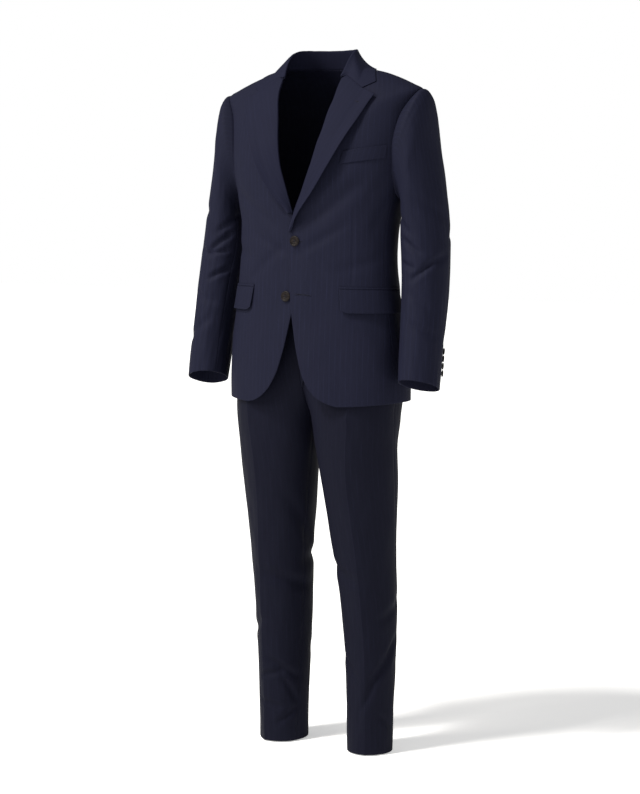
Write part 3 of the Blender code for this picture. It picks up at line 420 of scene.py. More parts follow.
def front_rows():
    """Levels of the fronts' rows and the angle of the side seam, armhole and shoulder seam."""
    share = np.linspace(0, 1, ROWS_LOW) ** 1.15
    turns = np.linspace(LEVEL_TURN, 0, ROWS_ARM)
    arm_angle, arm_level = armhole_point(turns)
    low = HEM + (arm_level[0] - HEM) * share[:-1]
    seam = -(FRONT_SEAM_HEM + (FRONT_SEAM_TOP - FRONT_SEAM_HEM) * share[:-1])
    high = np.linspace(SHOULDER, NECK, ROWS_HIGH)[1:]
    return np.concatenate([low, arm_level, high]), np.concatenate([seam, arm_angle, 0 * high])


for side, mirror, flip in SIDES:
    levels, outer_edge = front_rows()
    edge_x = curve_through(FRONT_EDGE["level"], FRONT_EDGE[side], levels)
    across = np.linspace(0, 1, FRONT_COLUMNS_COUNT)[:, None]
    angle = front_angle(edge_x, levels) * (1 - across) + outer_edge * across
    level = np.broadcast_to(levels, angle.shape)
    x = torso(angle, level)[..., 0]
    dart = DART_DEPTH * np.exp(-((x - DART_X) / DART_WIDTH) ** 2)
    dart = dart * ease(DART_FOOT, DART_FOOT + 0.01, level)
    dart = dart * (1 - ease(DART_TOP - 0.04, DART_TOP, level))
    face, normal = body(angle, level, mirror, lap_lift(x, level, mirror) - dart)
    places = grain(face, 40)
    places[..., 0] -= [np.interp(GRAIN_X, *way) for way in zip(x.T, places[..., 0].T)]
    piece = sewn(f"front_cloth_{side}", face, normal, JACKET_CLOTH, places, jacket_wool,
                 f"jacket_front_{side}", flip)

# ---- side panels --------------------------------------------------------------------------
# A narrow panel under each arm, sewn to the front and the back, in the same worsted.
SIDE_COLUMNS, SIDE_ROWS = 34, 130
for side, mirror, flip in SIDES:
    back_turn = math.pi + math.asin(BACK_SEAM_TOP / ARMHOLE_BACK)
    top_angle, top_level = armhole_point(np.linspace(LEVEL_TURN, back_turn, SIDE_COLUMNS))
    share = np.linspace(0, 1, SIDE_ROWS)[None, :]
    level = HEM + (top_level[:, None] - HEM) * share
    front = -(FRONT_SEAM_HEM + (FRONT_SEAM_TOP - FRONT_SEAM_HEM) * share)
    back = BACK_SEAM_HEM + (BACK_SEAM_TOP - BACK_SEAM_HEM) * share
    way = (top_angle - top_angle[0])[:, None] / (top_angle[-1] - top_angle[0])
    face, normal = body(front + (back - front) * way, level, mirror)
    piece = sewn(f"side_cloth_{side}", face, normal, JACKET_CLOTH, grain(face, 17), jacket_wool,
                 f"jacket_side_{side}", flip)

# ---- backs ---------------------------------------------------------------------------------
# Two backs joined by the centre seam, which opens below the waist into a vent: the left one
# runs on under the right.  They meet the fronts along the shoulder seams.
VENT_TOP, VENT_LAP = 0.965, 0.030
BACK_COLUMNS = 56
for side, mirror, flip in SIDES:
    arm_angle, arm_level = armhole_point(np.linspace(back_turn, 2 * math.pi, 60))
    share = np.linspace(0, 1, 120)[:-1]
    high = np.linspace(SHOULDER, NECK, 38)[1:]
    levels = np.concatenate([HEM + (arm_level[0] - HEM) * share, arm_level, high])
    seam = BACK_SEAM_HEM + (BACK_SEAM_TOP - BACK_SEAM_HEM) * share
    outer_edge = np.concatenate([seam, arm_angle, 0 * high])
    across = np.linspace(0, 1, BACK_COLUMNS)[:, None]
    lap = VENT_LAP / BODY_RADIUS * (1 - ease(VENT_TOP - 0.03, VENT_TOP, levels))
    angle = outer_edge * (1 - across) + (math.pi / 2 + lap) * across
    level = np.broadcast_to(levels, angle.shape)
    near = ease(math.pi / 2 - 0.45, math.pi / 2 - 0.20, angle)
    near = near * (1 - ease(VENT_TOP + 0.03, VENT_TOP + 0.08, level))
    face, normal = body(angle, level, mirror, (-LAP if mirror else LAP) * near)
    piece = sewn(f"back_cloth_{side}", face, normal, JACKET_CLOTH, grain(face, -1, -4),
                 jacket_wool, f"jacket_back_{side}", flip)

# ---- sleeves -------------------------------------------------------------------------------
# Two-piece tailored sleeves: a top sleeve over the outside and front, an under sleeve inside
# and behind, set into the armhole with a soft rounded head, creased at the elbow as worn.
SLEEVE_COLUMNS = ("down", "x_out", "z_out", "x_in", "z_in", "y_mid", "front", "back", "tilt", "bow")
SLEEVE_ROWS = (
    (0.010, 0.2395, 1.4010, 0.1945, 1.168, 0.000, 0.0630, 0.0630, 0, 0.013),    # sleeve head
    (0.024, 0.2475, 1.3910, 0.1965, 1.161, 0.001, 0.0655, 0.0655, 0, 0.008),
    (0.045, 0.2525, 1.3700, 0.1980, 1.152, 0.002, 0.0675, 0.0675, 0, 0.004),
    (0.070, 0.2548, 1.3460, 0.1985, 1.144, 0.003, 0.0690, 0.0690, 0, 0.001),
    (0.115, 0.2590, 1.3000, 0.1975, 1.130, 0.005, 0.0700, 0.0700, 0, 0.000),
    (0.185, 0.2700, 1.2320, 0.1945, 1.110, 0.006, 0.0700, 0.0695, 0, 0.000),    # bicep
    (0.270, 0.2835, 1.1500, 0.1930, 1.081, 0.004, 0.0670, 0.0670, 1, 0.000),
    (0.342, 0.2920, 1.0780, 0.1965, 1.047, -0.003, 0.0630, 0.0635, 3, 0.000),
    (0.410, 0.2965, 1.0100, 0.2020, 1.002, -0.014, 0.0595, 0.0605, 7, 0.000),   # elbow
    (0.490, 0.2995, 0.9320, 0.2085, 0.932, -0.031, 0.0555, 0.0560, 11, 0.000),
    (0.562, 0.3000, 0.8620, 0.2130, 0.862, -0.047, 0.0520, 0.0520, 15, 0.000),
    (0.634, 0.3015, 0.7920, 0.2165, 0.792, -0.061, 0.0490, 0.0500, 19, 0.000),  # cuff
)
CUFF = 0.634
SLEEVE_RADIUS = 0.055
LEFT_SLEEVE_FOLDS = (
    (92, 1.079, 32, 0.030, 0.0085, 0.0057),
    (68, 1.028, -34, 0.032, 0.0090, 0.0059),
    (58, 0.909, 24, 0.036, 0.0100, 0.0043),
    (108, 1.040, 14, 0.026, 0.0080, 0.0046),
    (118, 1.125, 38, 0.034, 0.0100, 0.0041),
    (30, 1.050, -20, 0.030, 0.0120, 0.0027),
    (40, 1.160, 30, 0.045, 0.0150, 0.0027),
    (74, 0.970, 30, 0.030, 0.0110, 0.0030),
    (-70, 1.120, -30, 0.050, 0.0140, 0.0041),
    (-95, 0.985, 22, 0.045, 0.0130, 0.0043),
    (-110, 1.050, -16, 0.036, 0.0110, 0.0043),
    (-60, 0.900, -28, 0.036, 0.0120, 0.0030),
)
RIGHT_SLEEVE_FOLDS = (
    (108, 1.080, 38, 0.032, 0.0085, 0.0062),
    (104, 1.058, 8, 0.026, 0.0070, 0.0049),
    (118, 1.014, 24, 0.028, 0.0085, 0.0059),
    (70, 1.058, -26, 0.026, 0.0090, 0.0035),
    (126, 1.120, 34, 0.034, 0.0100, 0.0041),
    (88, 0.962, -22, 0.034, 0.0110, 0.0032),
    (70, 0.900, 24, 0.045, 0.0130, 0.0034),
    (34, 1.150, -24, 0.045, 0.0150, 0.0027),
    (-80, 1.100, 34, 0.050, 0.0140, 0.0041),
    (-100, 1.020, -22, 0.045, 0.0120, 0.0043),
    (-70, 0.930, 20, 0.040, 0.0130, 0.0030),
)
SLEEVE = by_column(SLEEVE_COLUMNS, SLEEVE_ROWS)
TOP_CUT, UNDER_CUT = (0.25, 0.66), (0.17, 0.52)


def grid_normals(face, closed=False):
    """Cross product of the steps to a grid's neighbours, first index round, second along."""
    if closed:
        loop = np.concatenate([face[-2:-1], face, face[1:2]])
        across = loop[2:] - loop[:-2]
    else:
        across = np.gradient(face, axis=0)
    return unit(np.cross(across, np.gradient(face, axis=1)))


def sleeve(turns, stations, mirror):
    """Rings of an ellipse bent to the arm, joined along it by curves; returns face and normals."""
    angle, level = armhole_point(turns)
    rings = [torso(angle, level)]
    for row in SLEEVE_ROWS:
        row = dict(zip(SLEEVE_COLUMNS, row))
        tilt, c, s = math.radians(row["tilt"]), np.cos(turns), np.sin(turns)
        reach = np.where(s > 0, row["front"], row["back"]) * s
        x = (row["x_out"] + row["x_in"]) / 2 + (row["x_out"] - row["x_in"]) / 2 * c
        x = x - row["bow"] * s ** 2
        z = (row["z_out"] + row["z_in"]) / 2 + (row["z_out"] - row["z_in"]) / 2 * c
        rings.append(np.stack([x, row["y_mid"] - reach * math.cos(tilt),
                               z + reach * math.sin(tilt)], axis=-1))
    rings = np.array(rings)
    knots = np.concatenate([[0], SLEEVE["down"]])
    face = np.empty((len(turns), len(stations), 3))
    for i in range(len(turns)):
        for axis in range(3):
            face[i, :, axis] = curve_through(knots, rings[:, i, axis], stations)
    normal = grid_normals(face, closed=True)
    folds = RIGHT_SLEEVE_FOLDS if mirror else LEFT_SLEEVE_FOLDS
    depth = troughs(turns[:, None], face[..., 2], SLEEVE_RADIUS, folds)
    depth = depth - 1.6 * unrest(turns[:, None], face[..., 2], 1.1) * ease(0, 0.05, stations)
    return face - normal * depth[..., None], normal


for side, mirror, flip in SIDES:
    stations = np.concatenate([np.linspace(0, 0.06, 22)[:-1], np.linspace(0.06, CUFF, 150)])
    front_part = np.linspace(0, LEVEL_TURN, 37)
    low_part = np.linspace(LEVEL_TURN, back_turn, 33)[1:]
    back_part = np.linspace(back_turn, 2 * math.pi, 41)[1:]
    turns = np.concatenate([front_part, low_part, back_part])
    face, normal = sleeve(turns, stations, mirror)
    rear = len(front_part) + len(low_part) - 1 + 25
    top = np.concatenate([np.arange(rear, len(turns) - 1), np.arange(0, 37)])
    under = np.arange(36, rear + 1)
    for base, columns, cut, area, name in (("sleeve_top", top, TOP_CUT, 0.125, "top"),
                                           ("sleeve_under", under, UNDER_CUT, 0.075, "under")):
        part = face[columns]
        places = grain(part, len(columns) // 2)
        piece = sewn(f"{name}_sleeve_cloth_{side}", part, normal[columns], JACKET_CLOTH, places,
                     jacket_wool, f"{base}_{side}", flip)

# ---- lapels --------------------------------------------------------------------------------
# The turned-back top of each front, folded over along the roll line.  It springs off the
# chest above the button, where the roll is soft, and lies flat at the notch.
TRIM_CLOTH = 0.0014
LAPEL_EDGE_COLUMNS = ("z", "x")
LAPEL_EDGE_ROWS = (
    (1.104, -0.006), (1.141, 0.014), (1.192, 0.050), (1.235, 0.078), (1.290, 0.107),
    (1.340, 0.132), (1.388, 0.156),
)
GORGE_START, NOTCH, LAPEL_TIP = (0.078, 1.4315), (0.125, 1.403), (0.156, 1.388)
COLLAR_TIP = (0.148, 1.4165)
GORGE_MARKS = (0, 0.62, 1)
LAPEL_EDGE = by_column(LAPEL_EDGE_COLUMNS, LAPEL_EDGE_ROWS)
ROLL_INSIDE = JACKET_CLOTH / 2 + SEAM
LAPEL_LIFT = TRIM_CLOTH / 2 + 0.0009
ROLL_BULGE, EDGE_SPRING = 0.0044, 0.0120
facing_wool = worsted("navy_worsted_facing", "#141523", "#1c1e31", "#171828", 0.75, 0.40)


def front_level(x, z):
    """Level at which the front reaches the point x, z, by halving 24 times."""
    x, z = np.broadcast_arrays(np.asarray(x, float), np.asarray(z, float))
    low, high = np.full(x.shape, HEM), np.full(x.shape, NECK)
    for _ in range(24):
        middle = (low + high) / 2
        above = torso(front_angle(x, middle), middle)[..., 2] > z
        high, low = np.where(above, middle, high), np.where(above, low, middle)
    return (low + high) / 2


def on_front(x, z, mirror, lift):
    """Points and normals lying on a front at x, z, moved out by lift."""
    level = front_level(x, z)
    return body(front_angle(x, level), level, mirror, lift)


def gorge_line(share, tip):
    """x and z along the gorge seam, from the roll line past the notch to a tip."""
    ends = (GORGE_START, NOTCH, tip)
    return (np.interp(share, GORGE_MARKS, [p[0] for p in ends]),
            np.interp(share, GORGE_MARKS, [p[1] for p in ends]))


lapel_faces = {}
for side, mirror, flip in SIDES:
    start = 1.146 if mirror else 1.108
    levels = start + (front_level(*GORGE_START) - start) * np.linspace(0, 1, 110)
    rise = np.linspace(0, 1, 110)
    edge_x = curve_through(FRONT_EDGE["level"], FRONT_EDGE[side], levels)
    turn = front_angle(edge_x, levels)
    edge, normal = body(turn, levels, mirror, lap_lift(edge_x, levels, mirror))
    towards = unit(torso(turn - 0.004, levels) - torso(turn + 0.004, levels))
    core = edge - normal * JACKET_CLOTH / 2
    radius = ROLL_INSIDE + TRIM_CLOTH / 2
    columns = [core - radius * normal - 0.005 * towards]
    for hook in np.radians(np.linspace(-90, 90, 13)):
        columns.append(core + radius * (np.sin(hook) * normal + np.cos(hook) * towards))
    shares = np.linspace(0, 1, 30)[1:]
    for share, x_top, z_top in zip(shares, *gorge_line(shares, LAPEL_TIP)):
        z = edge[:, 2] + (z_top - edge[-1, 2]) * rise ** 2
        x = edge[:, 0] + (curve_through(LAPEL_EDGE["z"], LAPEL_EDGE["x"], z) - edge[:, 0]) * share
        x = x + (x_top - x[-1]) * rise ** 4
        bulge = ROLL_BULGE * math.sin(math.pi * min(share, 0.93)) * (1 - 0.75 * rise)
        spring = EDGE_SPRING * share ** 2 * ease(0.0, 0.07, rise) * (1 - ease(0.30, 0.85, rise))
        spring = spring + 0.0046 * ease(0.60, 1.0, share) * ease(0.05, 0.30, rise)
        ripple = 0.0005 * share * np.sin(17 * rise + 2.0 * share + (1.3 if mirror else 0))
        lift = LAPEL_LIFT + bulge + spring + ripple + lap_lift(x, z, mirror)
        columns.append(on_front(x, z, mirror, lift)[0])
    face = np.array(columns)
    normal = grid_normals(face)
    places = grain(face, -1)
    lapel_faces[side] = (face + normal * TRIM_CLOTH / 2, normal)
    piece = sewn(f"lapel_cloth_{side}", *lapel_faces[side], TRIM_CLOTH, places, facing_wool,
                 f"lapel_{side}", flip)

# ---- collar --------------------------------------------------------------------------------
# Notched collar: a leaning stand round the neck that folds over into a fall, its front ends
# sewn to the lapels along the gorge and open beyond the notch.
COLLAR_COLUMNS = ("angle", "stand", "edge_angle", "edge_level")
COLLAR_ROWS = (
    (90, 0.040, 90, 1.530), (55, 0.040, 55, 1.528), (25, 0.039, 25, 1.524),
    (3, 0.035, 6, 1.518), (-17, 0.024, -6, 1.505), (-37, 0.003, -19, 1.478),
)
COLLAR_LEAN = 0.42


def collar_half(columns, falls):
    """Stand, fold and a Bezier fall between the neck seam and an edge lying on the body."""
    rows = by_column(COLLAR_COLUMNS, COLLAR_ROWS)
    place, marks = np.linspace(0, 1, columns), np.linspace(0, 1, len(COLLAR_ROWS))
    angle, stand, edge_angle, edge_level = (curve_through(marks, rows[name], place)
                                            for name in COLLAR_COLUMNS)
    angle, edge_angle = np.radians(angle), np.radians(edge_angle)
    seam, normal = body(angle, np.full_like(angle, NECK), False)
    lean = unit(np.stack([-COLLAR_LEAN * np.cos(angle), -COLLAR_LEAN * np.sin(angle),
                          np.ones_like(angle)], axis=-1))
    out = unit(np.stack([np.cos(angle), np.sin(angle), 0 * angle], axis=-1))
    foot = seam - normal * JACKET_CLOTH / 2 + lean * (SEAM + 0.0004)
    fold = foot + lean * stand[:, None]
    lift = SEAM + TRIM_CLOTH / 2 + 0.0006
    edge = body(edge_angle, edge_level, False, lift)[0]
    above = body(edge_angle, edge_level + 0.012, False, lift + 0.0015)[0]
    bend = ROLL_INSIDE + TRIM_CLOTH / 2
    over = fold + out * 2 * bend
    reach = np.linalg.norm(edge - over, axis=-1, keepdims=True)
    first = over - lean * 0.30 * reach
    second = edge + unit(above - edge) * 0.35 * reach
    rows = [foot + (fold - foot) * q for q in np.linspace(0, 1, 9)]
    for turn in np.radians(np.linspace(0, 180, 9))[1:]:
        rows.append(fold + out * bend * (1 - np.cos(turn)) + lean * bend * np.sin(turn))
    stands = len(rows)
    for q in np.linspace(0, 1, falls)[1:]:
        rows.append((1 - q) ** 3 * over + 3 * q * (1 - q) ** 2 * first
                    + 3 * q * q * (1 - q) * second + q ** 3 * edge)
    face = np.array(rows)
    end = on_front(*gorge_line(np.linspace(0, 1, falls)[1:], COLLAR_TIP), False, lift)[0]
    fade = ease(0.60, 1.0, place)[None, :, None]
    face[stands:] += fade * (end[:, None] - face[stands:, -1:])
    face[stands:] = keep_above_body(face[stands:], lift)
    return face


def keep_above_body(points, lift):
    """Raise points that lie less than lift above the nearest sample of shoulders and chest."""
    angle, level = np.meshgrid(np.radians(np.linspace(-75, 90, 150)), np.linspace(1.38, NECK, 90))
    sample, normal = body(angle.ravel(), level.ravel(), False)
    raised = points.reshape(-1, 3).copy()
    near = np.array([np.argmin(((sample - point) ** 2).sum(axis=1)) for point in raised])
    height = ((raised - sample[near]) * normal[near]).sum(axis=1)
    low = (level.ravel()[near] < NECK - 1e-6) & (height < lift)
    raised[low] += normal[near][low] * (lift - height[low])[:, None]
    return raised.reshape(points.shape)


left_half = collar_half(60, 26)
face = np.concatenate([left_half[:, :0:-1] * (-1, 1, 1), left_half], axis=1)
normal = grid_normals(face)
collar_face, collar_normal = face + normal * TRIM_CLOTH / 2, normal
places = grain(face.transpose(1, 0, 2)).transpose(1, 0, 2)
piece = sewn("collar_cloth", collar_face, collar_normal, TRIM_CLOTH, places, facing_wool,
             "collar", gap=SEAM)

# ---- pockets -------------------------------------------------------------------------------
# A welted breast pocket on the left, and a jetted hip pocket with a flap on each side.
PATCH_ROOM, JET_CLOTH = 2 * SEAM, 0.0011


def patch(corners, mirror, lift, splay, round_corner, counts):
    """Bilinear strip between four corners (degrees round, height) laid on the body."""
    (a0, z0), (a1, z1), (a2, z2), (a3, z3) = corners
    u = np.linspace(0, 1, counts[0])[:, None]
    v = np.linspace(0, 1, counts[1])[None, :]
    near_end = np.clip(1 - np.minimum(u, 1 - u) / 0.09, 0, 1)
    v = v * (1 - round_corner * near_end ** 2.4)
    top_a, top_z = a0 + (a1 - a0) * u, z0 + (z1 - z0) * u
    low_a, low_z = a3 + (a2 - a3) * u, z3 + (z2 - z3) * u
    angle = np.radians(top_a + (low_a - top_a) * v)
    level = top_z + (low_z - top_z) * v
    return body(angle, level, mirror, lift + splay * v)


flap_faces = {}
for side, mirror, flip in SIDES:
    upper = ((-57, 0.9945), (8, 0.9915), (8, 0.9875), (-57, 0.9905))
    lower = ((-57, 0.9900), (8, 0.9870), (8, 0.9850), (-57, 0.9880))
    for k, corners in enumerate((upper, lower)):
        face, normal = patch(corners, mirror, PATCH_ROOM + 0.0012 - 0.0003 * k, 0.0, 0.0, (60, 7))
        bead = 0.0005 * np.sin(np.linspace(0, math.pi, 7))[None, :, None]
        places = grain(face)
        name = "jet_upper" if k == 0 else "jet_lower"
        sewn(f"{name}_{side}", face + normal * bead, normal, JET_CLOTH, places, jacket_wool,
             f"pocket_jet_{side}", flip, roll=0.0004)
    corners = ((-57, 0.9885), (8, 0.9855), (9, 0.9375), (-56, 0.9405))
    face, normal = patch(corners, mirror, PATCH_ROOM + TRIM_CLOTH + 0.0006, 0.0034, 0.13, (80, 30))
    flap_faces[side] = (face, normal)
    piece = sewn(f"flap_cloth_{side}", face, normal, TRIM_CLOTH, grain(face), jacket_wool,
                 f"pocket_flap_{side}", flip)

u = np.linspace(0, 1, 40)[:, None]
v = np.linspace(0, 1, 16)[None, :]
welt_x = 0.1085 + 0.078 * u - 0.006 * v + 0.004 * u * v
welt_z = 1.2745 + 0.012 * u - 0.027 * v
welt_face, welt_normal = on_front(welt_x, welt_z, False, PATCH_ROOM + TRIM_CLOTH)
piece = sewn("welt_cloth", welt_face, welt_normal, TRIM_CLOTH, grain(welt_face), jacket_wool,
             "breast_welt")

# ---- trousers ------------------------------------------------------------------------------
# Flat-front tapered trousers, each leg a front and a back joined at outseam and inseam and
# pressed to a sharp crease; the two legs meet in the seat seam.  They break softly at the hems.
TROUSER_CLOTH = 0.0016
LEG_COLUMNS = ("z", "x", "y", "outer", "inner", "front", "back", "toe", "crease", "square")
LEG_ROWS = (
    (-0.012, 0.1085, 0.002, 0.0510, 0.0470, 0.048, 0.062, 19, -90, 2.05),   # hem
    (0.100, 0.1075, 0.006, 0.0535, 0.0490, 0.055, 0.060, 19, -90, 2.05),
    (0.200, 0.1065, 0.009, 0.0570, 0.0530, 0.062, 0.062, 18, -90, 2.05),
    (0.306, 0.1045, 0.007, 0.0620, 0.0590, 0.069, 0.063, 16, -90, 2.05),
    (0.426, 0.1015, -0.008, 0.0690, 0.0665, 0.070, 0.069, 14, -90, 2.05),   # knee
    (0.528, 0.0980, -0.019, 0.0795, 0.0750, 0.074, 0.080, 11, -90, 2.05),
    (0.600, 0.0970, -0.026, 0.0835, 0.0820, 0.078, 0.087, 8, -88, 2.10),
    (0.660, 0.0970, -0.032, 0.0850, 0.0905, 0.081, 0.094, 6, -84, 2.10),
    (0.705, 0.0975, -0.033, 0.0880, 0.0965, 0.083, 0.100, 4, -80, 2.15),
    (0.718, 0.0965, -0.033, 0.0895, 0.0980, 0.084, 0.102, 3, -79, 2.15),    # crotch
    (0.735, 0.0930, -0.031, 0.0935, 0.1005, 0.086, 0.105, 2, -75, 2.20),
    (0.770, 0.0800, -0.025, 0.1080, 0.1080, 0.091, 0.108, 0, -67, 2.20),
    (0.800, 0.0640, -0.020, 0.1240, 0.1160, 0.094, 0.108, 0, -60, 2.20),
    (0.870, 0.0300, -0.012, 0.1520, 0.1300, 0.100, 0.098, 0, -51, 2.20),    # seat
    (0.930, 0.0080, -0.012, 0.1600, 0.1400, 0.097, 0.082, 0, -45, 2.20),
    (0.965, 0.0000, -0.014, 0.1600, 0.1600, 0.092, 0.074, 0, -43, 2.20),
    (1.005, 0.0000, -0.018, 0.1560, 0.1560, 0.085, 0.070, 0, -42, 2.20),    # waist
)
WAIST_SEAM, WAIST_TOP = 0.965, 1.005
OUTSEAM = math.radians(-2)
CREASE_DEPTH, CREASE_WIDTH, LEG_RADIUS = 0.0045, math.radians(38), 0.06
LEFT_LEG_FOLDS = (
    (-38, 0.195, 52, 0.060, 0.0130, 0.0057),
    (-80, 0.125, 66, 0.040, 0.0110, 0.0041),
    (-140, 0.180, -40, 0.036, 0.0110, 0.0043),
    (-140, 0.385, -22, 0.060, 0.0180, 0.0041),
    (-20, 0.300, 30, 0.045, 0.0150, 0.0030),
    (120, 0.400, 14, 0.070, 0.0200, 0.0054),
    (80, 0.160, -18, 0.060, 0.0160, 0.0043),
    (130, 0.060, 24, 0.045, 0.0120, 0.0034),
    (100, 0.620, -24, 0.060, 0.0160, 0.0041),
    (-30, 0.055, -34, 0.035, 0.0110, 0.0030),
)
RIGHT_LEG_FOLDS = (
    (-142, 0.150, 30, 0.046, 0.0110, 0.0059),
    (-158, 0.105, 56, 0.042, 0.0100, 0.0046),
    (-112, 0.140, -12, 0.032, 0.0100, 0.0043),
    (-112, 0.070, 14, 0.030, 0.0100, 0.0041),
    (-150, 0.045, -34, 0.034, 0.0100, 0.0035),
    (-150, 0.350, 18, 0.060, 0.0180, 0.0049),
    (-172, 0.480, 62, 0.070, 0.0160, 0.0041),
    (-60, 0.240, -30, 0.050, 0.0140, 0.0032),
    (110, 0.410, -15, 0.070, 0.0200, 0.0051),
    (75, 0.170, 20, 0.055, 0.0160, 0.0041),
    (110, 0.640, 22, 0.060, 0.0160, 0.0038),
)
LEG = by_column(LEG_COLUMNS, LEG_ROWS)
FRONT_LEG_CUT, BACK_LEG_CUT = (0.29, 1.02), (0.34, 1.02)
# The trousers' worsted, darker than the jacket's: partly the cloth's own colour, partly painted
# shade for the weaker light on the legs.
trouser_wool_shaded = worsted("navy_worsted_trousers", "#0d0e19", "#151625", "#11121e", 0.70, 0.6)


def leg(angle, z):
    """Leg ring with a pressed cusp at its crease, turned out by its toe angle."""
    row = {name: curve_through(LEG["z"], LEG[name], z) for name in LEG_COLUMNS[1:]}
    turned = (angle + math.pi) % (2 * math.pi) - math.pi
    gap = np.abs(np.abs(turned) + np.radians(row["crease"]))
    press = 1 - np.where(turned < 0, ease(0.80, 0.95, z), ease(0.60, 0.75, z))
    sharp = np.clip(1 - gap / CREASE_WIDTH, 0, 1) ** 2
    x, y, _ = oval(angle, row["outer"], row["inner"], row["front"], row["back"], row["square"])
    grow = 1 + CREASE_DEPTH * press * sharp / LEG_RADIUS
    toe = np.radians(row["toe"])
    x, y = x * grow, y * grow
    return np.stack([row["x"] + x * np.cos(toe) - y * np.sin(toe),
                     row["y"] + x * np.sin(toe) + y * np.cos(toe), z + 0 * x], axis=-1)


def inner_angle(z, way):
    """Angle at which a leg ends, by halving: its inseam, or the centre seam above it."""
    z = np.asarray(z, float)
    low, high = np.full(z.shape, math.pi / 2), np.full(z.shape, math.pi)
    for _ in range(24):
        middle = (low + high) / 2
        inside = leg(way * middle, z)[..., 0] > 0
        low, high = np.where(inside, middle, low), np.where(inside, high, middle)
    return way * low


def keep_left(points):
    """Points held on the leg's own side of the centre plane."""
    held = points.copy()
    held[..., 0] = np.maximum(held[..., 0], SEAM / 2)
    return held


def crowded(low, high, count, power):
    """Shares from low to high that crowd towards high."""
    return low + (high - low) * (1 - (1 - np.linspace(0, 1, count)) ** power)


for side, mirror, flip in SIDES:
    folds = RIGHT_LEG_FOLDS if mirror else LEFT_LEG_FOLDS
    levels = np.concatenate([np.linspace(-0.012, 0.70, 190)[:-1], np.linspace(0.70, 0.80, 40)[:-1],
                             np.linspace(0.80, WAIST_SEAM, 40)])
    for base, way, cut, area in (("front", -1, FRONT_LEG_CUT, 0.19),
                                 ("back", 1, BACK_LEG_CUT, 0.22)):
        crease = -way * np.radians(curve_through(LEG["z"], LEG["crease"], levels))
        end = inner_angle(levels, way)
        first = OUTSEAM + (crease - OUTSEAM) * crowded(0, 1, 26, 1.7)[:, None]
        second = crease + (end - crease) * (1 - crowded(0, 1, 26, 1.7)[::-1])[1:, None]
        angle = np.concatenate([first, second])
        z = np.broadcast_to(levels, angle.shape)
        normal = normals_of(leg, angle, z)
        phase = 2.2 if mirror else 0.4
        depth = troughs(angle, z, LEG_RADIUS, folds) - 1.5 * unrest(angle, z, phase)
        face = keep_left(leg(angle, z) - normal * depth[..., None])
        piece = sewn(f"trouser_{base}_cloth_{side}", face, normal, TROUSER_CLOTH,
                     grain(face, 25), trouser_wool_shaded, f"trouser_{base}_{side}", flip,
                     slot="navy_wool_trousers", back=keep_left)

# ---- waistband and fly ---------------------------------------------------------------------
# A plain curved waistband that closes with one button, and the fly on the left front, its
# end curving in to the centre seam.
BAND_CLOTH, FLY_CLOTH, FLY_LIFT = 0.0028, 0.0012, 0.0012
angle = np.radians(np.linspace(-90, 90, 90))[:, None]
z = np.broadcast_to(np.linspace(WAIST_SEAM, WAIST_TOP, 16), (90, 16))
half, half_normal = leg(angle, z), normals_of(leg, angle, np.clip(z, 0, WAIST_TOP - 2e-4))
face = np.concatenate([half, half[-2::-1] * (-1, 1, 1)])
normal = np.concatenate([half_normal, half_normal[-2::-1] * (-1, 1, 1)])
piece = sewn("waistband_cloth", face, normal, BAND_CLOTH, grain(face), trouser_wool_shaded,
             "waistband", slot="navy_wool_trousers")

v = np.linspace(0, 1, 60)[None, :]
u = np.linspace(0, 1, 16)[:, None]
z = 0.958 - 0.176 * v
width = 0.036 * (1 - ease(0.70, 1.0, v) * 0.9)
inner = inner_angle(z, -1)
base = leg(inner, z)
fly_angle = inner + 0.012 + width * u / np.maximum(np.hypot(base[..., 0], base[..., 1]), 0.08)
level = z + 0 * u
fly_normal = normals_of(leg, fly_angle, level)
fly_face = leg(fly_angle, level) + fly_normal * (FLY_LIFT + FLY_CLOTH)
piece = sewn("fly_cloth", fly_face, fly_normal, FLY_CLOTH, grain(fly_face), trouser_wool_shaded,
             "fly", slot="navy_wool_trousers", roll=0.0004)

# ---- stitching -----------------------------------------------------------------------------
# Pick stitches run inside the edges of the lapels, collar, fronts, flaps and welt, the fly has
# its curved row, and each buttonhole is edged with close stitches round a slit.
PICK_PITCH, PICK_INSET, FLY_PITCH = 0.0046, 0.0028, 0.0030
HOLE_RADIUS, HOLE_PITCH = 0.0011, 0.00075
# name, x and height of the middle, length, and how much its far end rises
HOLES = (
    ("lapel_hole", 0.1237, 1.3765, 0.0222, -0.0088),
    ("upper_hole", 0.0120, 1.0875, 0.0180, -0.0010),
    ("lower_hole", 0.0252, 0.9770, 0.0374, -0.0020),
)
STITCH_TURNS = np.radians(np.arange(0, 360, 60))


def thread(name, colour, roughness):
    """Twisted sewing thread: its plies are fine slanting ridges."""
    made, tree, shader = material(name, roughness, 0.15)
    place = add(tree, "ShaderNodeUVMap", uv_map="cloth")
    plies = add(tree, "ShaderNodeTexWave", {"Vector": place, "Scale": 900.0, "Distortion": 1.0},
                bands_direction="DIAGONAL")
    bump = add(tree, "ShaderNodeBump", {"Strength": 0.5, "Distance": 0.0001, "Height": plies})
    tree.links.new(bump, shader.inputs["Normal"])
    shader.inputs["Base Color"].default_value = linear(colour)
    return made


